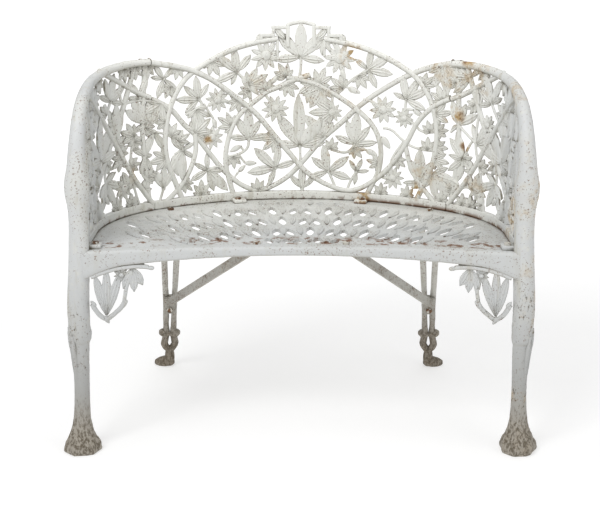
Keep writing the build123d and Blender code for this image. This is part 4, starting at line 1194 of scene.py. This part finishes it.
@dataclass
class CornerBracket:
    """Pierced leaf bracket under the apron. Sizes in mm, along from the leg and down from the seat."""

    side: Side
    leg_face: float = 430.2
    leaf_width: float = 17.0
    cup: Line = ((66, 110), (60, 122), (44, 136), (29, 148), (15, 138), (5, 122), (1, 112))
    tie: Line = ((64, 116), (67, 98), (70, 80), (82, 44))
    fan: tuple[tuple[Spot, Spot], ...] = (((28, 138), (8, 48)), ((29, 138), (32, 34)), ((30, 138), (60, 44)),
                                          ((84, 38), (104, 76)), ((85, 38), (86, 90)), ((84, 38), (64, 82)))
    strip: Line = ((1, 54), (18, 47), (44, 40), (72, 36), (100, 35), (116, 38))
    buds: tuple[tuple[Spot, Spot], ...] = (((24, 140), (34, 156)), ((128, 41), (110, 38)),
                                           ((70, 106), (62, 124)), ((8, 118), (-2, 104)))
    grain: tuple[float, float] = (0.0004, 140.0)

    def build(self, forms: Forms, finish: bpy.types.Material) -> bpy.types.Object:
        """Model the bracket.

        Args:
            forms: the shared cast forms.
            finish: its paint.

        Returns:
            The piece that stands for the CAD corner bracket.
        """
        name = self.side.name.lower()
        work = Openwork(f"{name}_bracket_casting", forms)
        for line, width in ((self.cup, 10.0), (self.tie, 8.0), (self.strip, 10.0)):
            work.vine([self.spot(place) for place in line], width)
        for base, tip in self.fan:
            work.lay(forms.leaflet, self.spot(base), self.spot(tip), self.leaf_width, 5.5)
        work.flower(self.spot((62, 52)), 16.0)
        for base, tip in self.buds:
            work.bud(Bud(self.spot(base), self.spot(tip)))
        sign = self.side.value
        x = sign * (self.leg_face - 96)
        work.block(Vector((x - 11, 3.0, -39.0)), Vector((x + 11, 20.0, -32.0)), 1.2)
        work.block(Vector((x - 11, 14.5, -39.0)), Vector((x + 11, 20.2, -8.5)), 1.2)
        work.bend(PLAN.on_front)
        work.roughen(*self.grain)
        return work.cast(finish, "painted_castings", [f"{name}_corner_bracket"])

    def spot(self, place: Spot) -> Spot:
        """Drawing point of a place along and down."""
        return (self.side.value * (self.leg_face - place[0]), -place[1])


@dataclass
class SeatCasting:
    """Half-moon seat plate with rays of leaf-shaped slots and ribs, and its hollow apron. Sizes in mm."""

    thick: float = 8.0
    rail_thick: float = 15.0
    nose: float = 6.0
    apron_thick: float = 14.0
    drop_middle: float = 18.0
    drop_haunch: float = 31.0
    drop_end: float = 62.0
    haunch: float = 95.0
    notch: float = 24.0
    hub_y: float = -300.0
    rings: tuple[tuple[float, float, float], ...] = (
        (362, 404, 34), (420, 492, 39), (508, 584, 41), (600, 672, 43), (686, 728, 46),
    )
    slot_width: float = 19.0
    slot_shares: tuple[float, ...] = (0.02, 0.15, 0.35, 0.6, 0.82, 0.98)
    slot_flare: float = 1.08
    rib_width: float = 13.0
    fan_turn: float = 0.15
    border: float = 20.0
    front_border: float = 32.0
    grain: tuple[float, float] = (0.0004, 120.0)

    def build(self, forms: Forms, finish: bpy.types.Material) -> bpy.types.Object:
        """Model the seat.

        Args:
            forms: the shared cast forms.
            finish: its paint.

        Returns:
            The piece that stands for the CAD seat plate.
        """
        work = Casting("seat_casting")
        added = work.absorb(self.plate())
        # Painted shade with some grime on the side walls of the plate and its slots, away from the top and
        # bottom edges.
        painted_shade_and_grime = work.bm.verts.layers.float[PAINTED_SHADE_AND_GRIME]
        for vert in added:
            vert[painted_shade_and_grime] = 1.0 if 0.1 < -vert.co.z / self.thick < 0.9 else 0.0
        self.ribs(work, forms)
        self.apron(work)
        work.bend(lambda x, y, z: PLAN.world(x, y, PLAN.seat_height + z))
        work.roughen(*self.grain)
        return work.cast(finish, "painted_seat", ["seat_plate"])

    def front(self, x: float, depth: float) -> float:
        """Line of the hollow front at x, a depth behind the apron's face."""
        return PLAN.on_front(x, depth, 0.0).y / MM - PLAN.leg_line

    def plate(self) -> bpy.types.Mesh:
        """Plate with its slots and leg notches cut out."""
        bm = bmesh.new()
        reach = PLAN.joint_u + PLAN.side_arc + PLAN.side_y - self.front(PLAN.edge_x, self.nose)
        wall = [PLAN.on_wall(reach * step / 60, self.rail_thick, 0.0) / MM for step in range(-60, 61)]
        spots = [(spot.x, spot.y - PLAN.leg_line) for spot in wall]
        edge = (PLAN.edge_x * step / 30 for step in range(29, -30, -1))
        spots += [(x, self.front(x, self.nose)) for x in edge]
        face = bm.faces.new([bm.verts.new((x, y, 0.0)) for x, y in spots])
        lower = corners(bmesh.ops.extrude_face_region(bm, geom=[face])["geom"])
        bmesh.ops.translate(bm, verts=lower, vec=(0, 0, -self.thick))
        bmesh.ops.recalc_face_normals(bm, faces=bm.faces[:])
        holder = bpy.data.objects.new("plate", keep(bm, "plate"))
        cutter = bpy.data.objects.new("slots", self.cutters())
        for item in (holder, cutter):
            bpy.context.scene.collection.objects.link(item)
        cut = holder.modifiers.new("slots", "BOOLEAN")
        cut.operation = "DIFFERENCE"
        cut.solver = "EXACT"
        cut.use_self = True
        cut.object = cutter
        soft = holder.modifiers.new("edges", "BEVEL")
        soft.width = 1.4
        soft.segments = 2
        soft.limit_method = "ANGLE"
        soft.angle_limit = math.radians(50)
        bpy.context.view_layer.update()
        made = bpy.data.meshes.new_from_object(holder.evaluated_get(bpy.context.evaluated_depsgraph_get()))
        for item in (holder, cutter):
            mesh = item.data
            bpy.data.objects.remove(item)
            bpy.data.meshes.remove(mesh)
        return made

    def cutters(self) -> bpy.types.Mesh:
        """Prisms of the slots and of the two leg notches."""
        bm = bmesh.new()
        for place, length, turn in self.rays():
            half = self.slot_width / 2
            outline = [(length * share, half * math.sin(math.pi * share) ** 0.7)
                       for share in self.slot_shares]
            outline += [(along, -out) for along, out in reversed(outline)]
            spin = Matrix.Rotation(turn, 2)
            self.prism(bm, [place + spin @ Vector(spot) for spot in outline])
        for side in Side:
            centre = Vector((side.value * PLAN.leg_x, 0.0))
            turns = [2 * math.pi * step / 24 for step in range(24)]
            self.prism(bm, [centre + self.notch * Vector((math.cos(turn), math.sin(turn))) for turn in turns])
        bmesh.ops.recalc_face_normals(bm, faces=bm.faces[:])
        return keep(bm, "slots")

    def prism(self, bm: bmesh.types.BMesh, spots: Sequence[Vector]) -> None:
        """Draw an outline through the plate, a little wider below."""
        face = bm.faces.new([bm.verts.new((spot.x, spot.y, self.thick)) for spot in spots])
        lower = corners(bmesh.ops.extrude_face_region(bm, geom=[face])["geom"])
        bmesh.ops.translate(bm, verts=lower, vec=(0, 0, -3 * self.thick))
        x, y = (-sum(spot[axis] for spot in spots) / len(spots) for axis in (0, 1))
        centre = Matrix.Translation((x, y, 0))
        bmesh.ops.scale(bm, verts=lower, vec=(self.slot_flare, self.slot_flare, 1), space=centre)

    def rays(self, half_step: float = 0.0) -> list[tuple[Vector, float, float]]:
        """Slots that fit in the field, ring by ring round the hub.

        Args:
            half_step: turn of the rings, in steps between slots.

        Returns:
            Inner end, length and heading of each.
        """
        found = []
        for ring, (inner, outer, spacing) in enumerate(self.rings):
            step = 2 * spacing / (inner + outer)
            for count in range(-14, 15):
                swing = step * (count + 0.5 * (ring % 2) + half_step)
                fan = sum((count + ring + past) % 3 - 1 for past in (0, math.ceil(half_step))) / 2
                length = (outer - inner) * (1.0 - 0.2 * abs(fan))
                out = Vector((math.sin(swing), math.cos(swing)))
                turn = math.pi / 2 - swing - self.fan_turn * fan
                along = Vector((math.cos(turn), math.sin(turn)))
                start = Vector((0.0, self.hub_y)) + inner * out
                if self.inside(start) and self.inside(start + length * along):
                    found.append((start, length, turn))
        return found

    def inside(self, spot: Vector) -> bool:
        """Whether a spot lies in the pierced field."""
        if spot.y < self.front(spot.x, self.front_border):
            return False
        across = abs(spot.x)
        if across < PLAN.side_x * (spot.y - PLAN.back_y) / (PLAN.side_y - PLAN.back_y):
            return math.hypot(across, spot.y - PLAN.back_y) < PLAN.back_radius - self.border
        if spot.y > PLAN.side_y:
            return math.hypot(across - PLAN.side_x, spot.y - PLAN.side_y) < PLAN.side_radius - self.border
        return across < PLAN.half_width - self.border - self.notch

    def ribs(self, work: Casting, forms: Forms) -> None:
        """Lay raised leaf ribs between the slots."""
        for start, length, turn in self.rays(0.5):
            along = Vector((math.cos(turn), math.sin(turn), 0.0))
            place = Matrix.Translation((start.x, start.y, 0.0)) @ Matrix((
                (along.x, 0.0, -along.y, 0.0), (along.y, 0.0, along.x, 0.0),
                (0.0, -1.0, 0.0, 0.0), (0.0, 0.0, 0.0, 1.0)))
            work.take(forms.leaflet, place @ Matrix.Diagonal((length * 1.12, 0.75, self.rib_width, 1)))

    def apron(self, work: Casting) -> None:
        """Add the smooth front strip, deeper at its ends."""
        bm = bmesh.new()
        lengths = 72
        section = self.section(self.drop_middle)
        rounds = len(section)
        bmesh.ops.create_grid(bm, x_segments=lengths, y_segments=rounds, size=0.5)
        for vert in bm.verts:
            x = 2 * PLAN.edge_x * vert.co.x
            depth, rise = self.section(self.drop(x))[round((vert.co.y + 0.5) * rounds) % rounds]
            vert.co = (x, self.front(x, depth), rise)
        bmesh.ops.remove_doubles(bm, verts=bm.verts[:], dist=0.001)
        bmesh.ops.holes_fill(bm, edges=bm.edges[:], sides=0)
        bmesh.ops.recalc_face_normals(bm, faces=bm.faces[:])
        work.absorb(keep(bm, "apron"))

    def section(self, drop: float) -> tuple[Spot, ...]:
        """Section of the apron: depth and rise round its edge."""
        back = self.apron_thick
        return ((20.0, 0.2), (11.0, 0.9), (6.0, 0.6), (2.6, -1.2), (0.7, -4.0), (0.0, -8.0),
                (0.0, -drop * 0.7), (0.5, 2.2 - drop), (2.4, -drop), (back - 2.4, -drop),
                (back, 2.2 - drop), (back, -10.0), (18.0, -7.8))

    def drop(self, x: float) -> float:
        """Depth of the apron at x."""
        bend = PLAN.edge_x - self.haunch
        if abs(x) <= bend:
            return self.drop_middle + (self.drop_haunch - self.drop_middle) * (x / bend) ** 2
        return self.drop_haunch + (self.drop_end - self.drop_haunch) * ((abs(x) - bend) / self.haunch) ** 1.6


@dataclass
class CadDress:
    """CAD nodes that keep their shape and get a finish."""

    finishes: tuple[tuple[object, tuple[str, ...]], ...]

    def dress(self) -> None:
        """Put each finish on its nodes."""
        for finish, nodes in self.finishes:
            material = finish.material()
            for name in nodes:
                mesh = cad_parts[name].data
                mesh.materials.clear()
                mesh.materials.append(material)
                LOG.info("%s: dressed", name)


@dataclass
class Studio:
    """Pale floor, soft lights and the camera of the photograph."""

    image_width: float = 600.0
    sensor: float = 36.0
    focal_pixels: float = 1145.7
    place: Place = (-0.0261, -2.4687, 1.096)
    pitch: float = 0.287
    yaw: float = 0.010
    roll: float = -0.006
    sky: float = 0.43
    floor_glow: float = 0.56
    far_glow: float = 0.32

    def build(self) -> None:
        """Set up floor, lights, sky and camera."""
        self.floor()
        self.light("key", (-1.6, -2.4, 3.6), 1.6, 76.0)
        self.light("fill", (2.6, -2.0, 2.4), 2.4, 18.0)
        self.light("top", (0.0, -0.1, 3.6), 2.0, 24.0)
        world = bpy.data.worlds.new("sky")
        world.use_nodes = True
        world.node_tree.nodes["Background"].inputs["Color"].default_value = (1.0, 1.0, 1.0, 1.0)
        world.node_tree.nodes["Background"].inputs["Strength"].default_value = self.sky
        bpy.context.scene.world = world
        bpy.context.scene.view_settings.view_transform = "Standard"
        self.camera()

    def floor(self) -> None:
        """Lay a wide pale floor."""
        bm = bmesh.new()
        bmesh.ops.create_grid(bm, x_segments=4, y_segments=4, size=30.0)
        mesh = keep(bm, "studio_floor")
        material = bpy.data.materials.new("studio_floor")
        material.use_nodes = True
        graph = Graph(material)
        place = graph.add("ShaderNodeTexCoord").outputs["Object"]
        tone = graph.noise(place, 1.5, 2.0, 0.5)
        colour = graph.mix(tone, (0.50, 0.50, 0.50), (0.53, 0.53, 0.53))
        graph.feed(graph.shader.inputs["Base Color"], colour)
        graph.shader.inputs["Roughness"].default_value = 0.9
        graph.shader.inputs["Emission Color"].default_value = (1.0, 1.0, 1.0, 1.0)
        behind = graph.add("ShaderNodeSeparateXYZ", Vector=place).outputs["Y"]
        far = graph.times(graph.ramp(behind, 0.4, 2.6), self.far_glow)
        graph.feed(graph.shader.inputs["Emission Strength"], graph.plus(far, self.floor_glow))
        mesh.materials.append(material)
        floor = bpy.data.objects.new("studio_floor", mesh)
        bpy.context.scene.collection.objects.link(floor)

    def light(self, name: str, place: Place, size: float, power: float) -> None:
        """Hang a soft square light that faces the seat."""
        data = bpy.data.lights.new(name, "AREA")
        data.size = size
        data.energy = power
        lamp = bpy.data.objects.new(name, data)
        lamp.location = place
        lamp.rotation_euler = (Vector((0.0, 0.0, 0.45)) - Vector(place)).to_track_quat("-Z", "Y").to_euler()
        bpy.context.scene.collection.objects.link(lamp)

    def camera(self) -> None:
        """Stand the camera where the photograph was taken."""
        data = bpy.data.cameras.new("camera")
        data.sensor_width = self.sensor
        data.lens = self.sensor * self.focal_pixels / self.image_width
        data.clip_end = 200.0
        camera = bpy.data.objects.new("camera", data)
        turn = Matrix.Rotation(-self.yaw, 4, "Z") @ Matrix.Rotation(math.pi / 2 - self.pitch, 4, "X")
        camera.matrix_world = Matrix.Translation(self.place) @ turn @ Matrix.Rotation(-self.roll, 4, "Z")
        bpy.context.scene.collection.objects.link(camera)
        bpy.context.scene.camera = camera


CASTING_PAINT = PaintFinish("old_white_paint", (0.84, 0.84, 0.795), (0.72, 0.715, 0.65), joint_rust=0.95,
                            stain_share=0.5, bare_top=0.16, bare_share=1.0,
                            rust_spots=((0.118, 0.788, 0.036), (0.272, 0.482, 0.024), (0.15, 0.454, 0.026),
                                        (0.345, 0.666, 0.028), (0.368, 0.795, 0.02), (0.372, 0.602, 0.016),
                                        (-0.215, 0.595, 0.014)))
SEAT_PAINT = PaintFinish("worn_seat_paint", (0.70, 0.705, 0.68), (0.54, 0.545, 0.51), (0.60, 0.613, 0.61),
                         crevice_shade_and_grime=(0.10, 0.068, 0.038), speck_level=0.635, streak_share=0.2, splash_share=0.0,
                         front_rust=0.95)
LEG_PAINT = PaintFinish("weathered_leg_paint", (0.64, 0.63, 0.58), (0.42, 0.39, 0.33), (0.60, 0.59, 0.54),
                        bare=(0.21, 0.172, 0.125), speck_level=0.60, splash_share=0.3, bare_top=0.25,
                        bare_share=0.95)
STAY_PAINT = replace(LEG_PAINT, name="weathered_stay_paint", clean=(0.50, 0.49, 0.445),
                     shaded=(0.27, 0.245, 0.195), cool=(0.50, 0.49, 0.45))
FASTENER_RUST = RustFinish("rusty_fasteners")

SIDE_VINES: tuple[Line, ...] = (
    ((364, 16), (417, 85), (467, 169), (529, 245), (597, 298), (660, 300)),
    ((395, 345), (427, 254), (487, 159), (557, 83), (637, 28), (687, 12)),
    ((583, 12), (595, 83), (591, 159), (609, 235), (648, 300)),
    ((713, 12), (687, 83), (677, 159), (689, 228), (706, 250)),
    ((369, 12), (383, 114), (383, 237), (369, 346)),
    ((361, 260), (391, 271), (451, 307), (521, 336)),
)
SIDE_FANS: tuple[Leaf, ...] = (
    Leaf.fan((511, 91), (481, 38)), Leaf.fan((533, 142), (537, 231)), Leaf.fan((637, 114), (637, 199)),
    Leaf.fan((657, 214), (667, 273)), Leaf.fan((480, 264), (461, 318)), Leaf.fan((430, 60), (446, 100)),
    Leaf.fan((575, 262), (560, 310)), Leaf.fan((700, 60), (690, 120)),
)
SIDE_STEMS: tuple[Line, ...] = (
    ((511, 91), (521, 106), (500, 142)), ((533, 142), (541, 121), (537, 99)),
    ((637, 114), (657, 104), (685, 102)), ((480, 264), (487, 248), (511, 228)),
    ((657, 214), (645, 228), (611, 243)), ((637, 104), (625, 47), (597, 57)),
    ((430, 60), (412, 70), (400, 60)), ((575, 262), (590, 258), (612, 250)),
    ((553, 275), (540, 268), (532, 248)),
)
SIDE_FLOWERS: tuple[tuple[Spot, float], ...] = (
    ((553, 275), 30), ((445, 66), 30), ((631, 62), 30), ((470, 215), 24),
)
LEFT_LEAVES: tuple[Leaf, ...] = (
    Leaf((-371, 203), ((-409, 258), (-362, 255), (-362, 217), (-429, 237), (-405, 188))),
    Leaf((-379, 128), ((-363, 168), (-362, 129), (-364, 94), (-394, 93), (-414, 154))),
    Leaf((-389, 263), ((-370, 302), (-407, 293), (-420, 263))),
    Leaf((-462, 180), ((-480, 240), (-462, 252), (-446, 238), (-492, 176), (-452, 130))),
)
RIGHT_LEAVES: tuple[Leaf, ...] = (
    Leaf((382, 204), ((364, 253), (397, 249), (431, 231), (364, 229), (366, 192))),
    Leaf((400, 127), ((378, 181), (364, 167), (364, 132), (364, 98), (384, 76))),
    Leaf((438, 167), ((462, 212), (496, 197), (508, 148), (420, 206))),
    Leaf((409, 312), ((364, 336), (364, 313), (371, 278), (437, 338))),
)
LEFT_BUDS: tuple[Bud, ...] = (
    Bud((-432, 70), (-440, 100)), Bud((-520, 60), (-500, 40)), Bud((-600, 190), (-596, 222)),
)
RIGHT_BUDS: tuple[Bud, ...] = (
    Bud((420, 298), (437, 256)), Bud((368, 79), (392, 66)), Bud((520, 60), (500, 40)),
    Bud((600, 190), (596, 222)),
)
LEFT_STEMS: tuple[Line, ...] = (
    ((-406, 182), (-416, 155), (-422, 119), (-420, 78), (-398, 14)),
    ((-442, 314), (-448, 280), (-440, 251), (-402, 259), (-362, 253)),
    ((-371, 203), (-380, 190), (-383, 170)), ((-379, 128), (-396, 93), (-372, 67), (-362, 64)),
)
RIGHT_STEMS: tuple[Line, ...] = (
    ((449, 298), (442, 253), (435, 215), (432, 181), (435, 144), (453, 110), (470, 14)),
    ((400, 127), (413, 163), (423, 172)), ((409, 312), (392, 288), (372, 267)),
    ((438, 167), (413, 178), (382, 204)), ((382, 204), (372, 192), (362, 185)),
)


def mirrored(line: Line) -> Line:
    """A line on the other side of the middle."""
    return tuple((-x, z) for x, z in line)


def side_castings() -> list[SideCasting]:
    """The two end castings with their own growth.

    Returns:
        The right and the left casting.
    """
    left_fans = tuple(Leaf(mirrored((leaf.base,))[0], mirrored(leaf.tips)) for leaf in SIDE_FANS)
    left_flowers = tuple(((-centre[0], centre[1]), reach) for centre, reach in SIDE_FLOWERS)
    left_stems = tuple(mirrored(line) for line in SIDE_STEMS)
    right = SideCasting(Side.RIGHT, SIDE_FANS + RIGHT_LEAVES, RIGHT_BUDS, SIDE_STEMS + RIGHT_STEMS,
                        SIDE_VINES, SIDE_FLOWERS)
    left = SideCasting(Side.LEFT, left_fans + LEFT_LEAVES, LEFT_BUDS, left_stems + LEFT_STEMS,
                       tuple(mirrored(line) for line in SIDE_VINES), left_flowers)
    return [right, left]


def main() -> None:
    """Build the seat's looks and its studio."""
    logging.basicConfig(level=logging.INFO, format="%(message)s")
    forms = Forms()
    paint = CASTING_PAINT.material()
    legs = LEG_PAINT.material()
    MiddleCasting().build(forms, paint)
    for casting in side_castings():
        casting.build(forms, paint)
    for side in Side:
        RearLeg(side).build(legs)
        CornerBracket(side).build(forms, paint)
    bolts = tuple(name for name in sorted(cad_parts) if name.endswith(("_bolts", "_nuts", "_screws")))
    SeatCasting().build(forms, SEAT_PAINT.material())
    CadDress(((STAY_PAINT, ("right_stay", "left_stay")), (FASTENER_RUST, bolts))).dress()
    Studio().build()


if __name__ == "__main__":
    main()
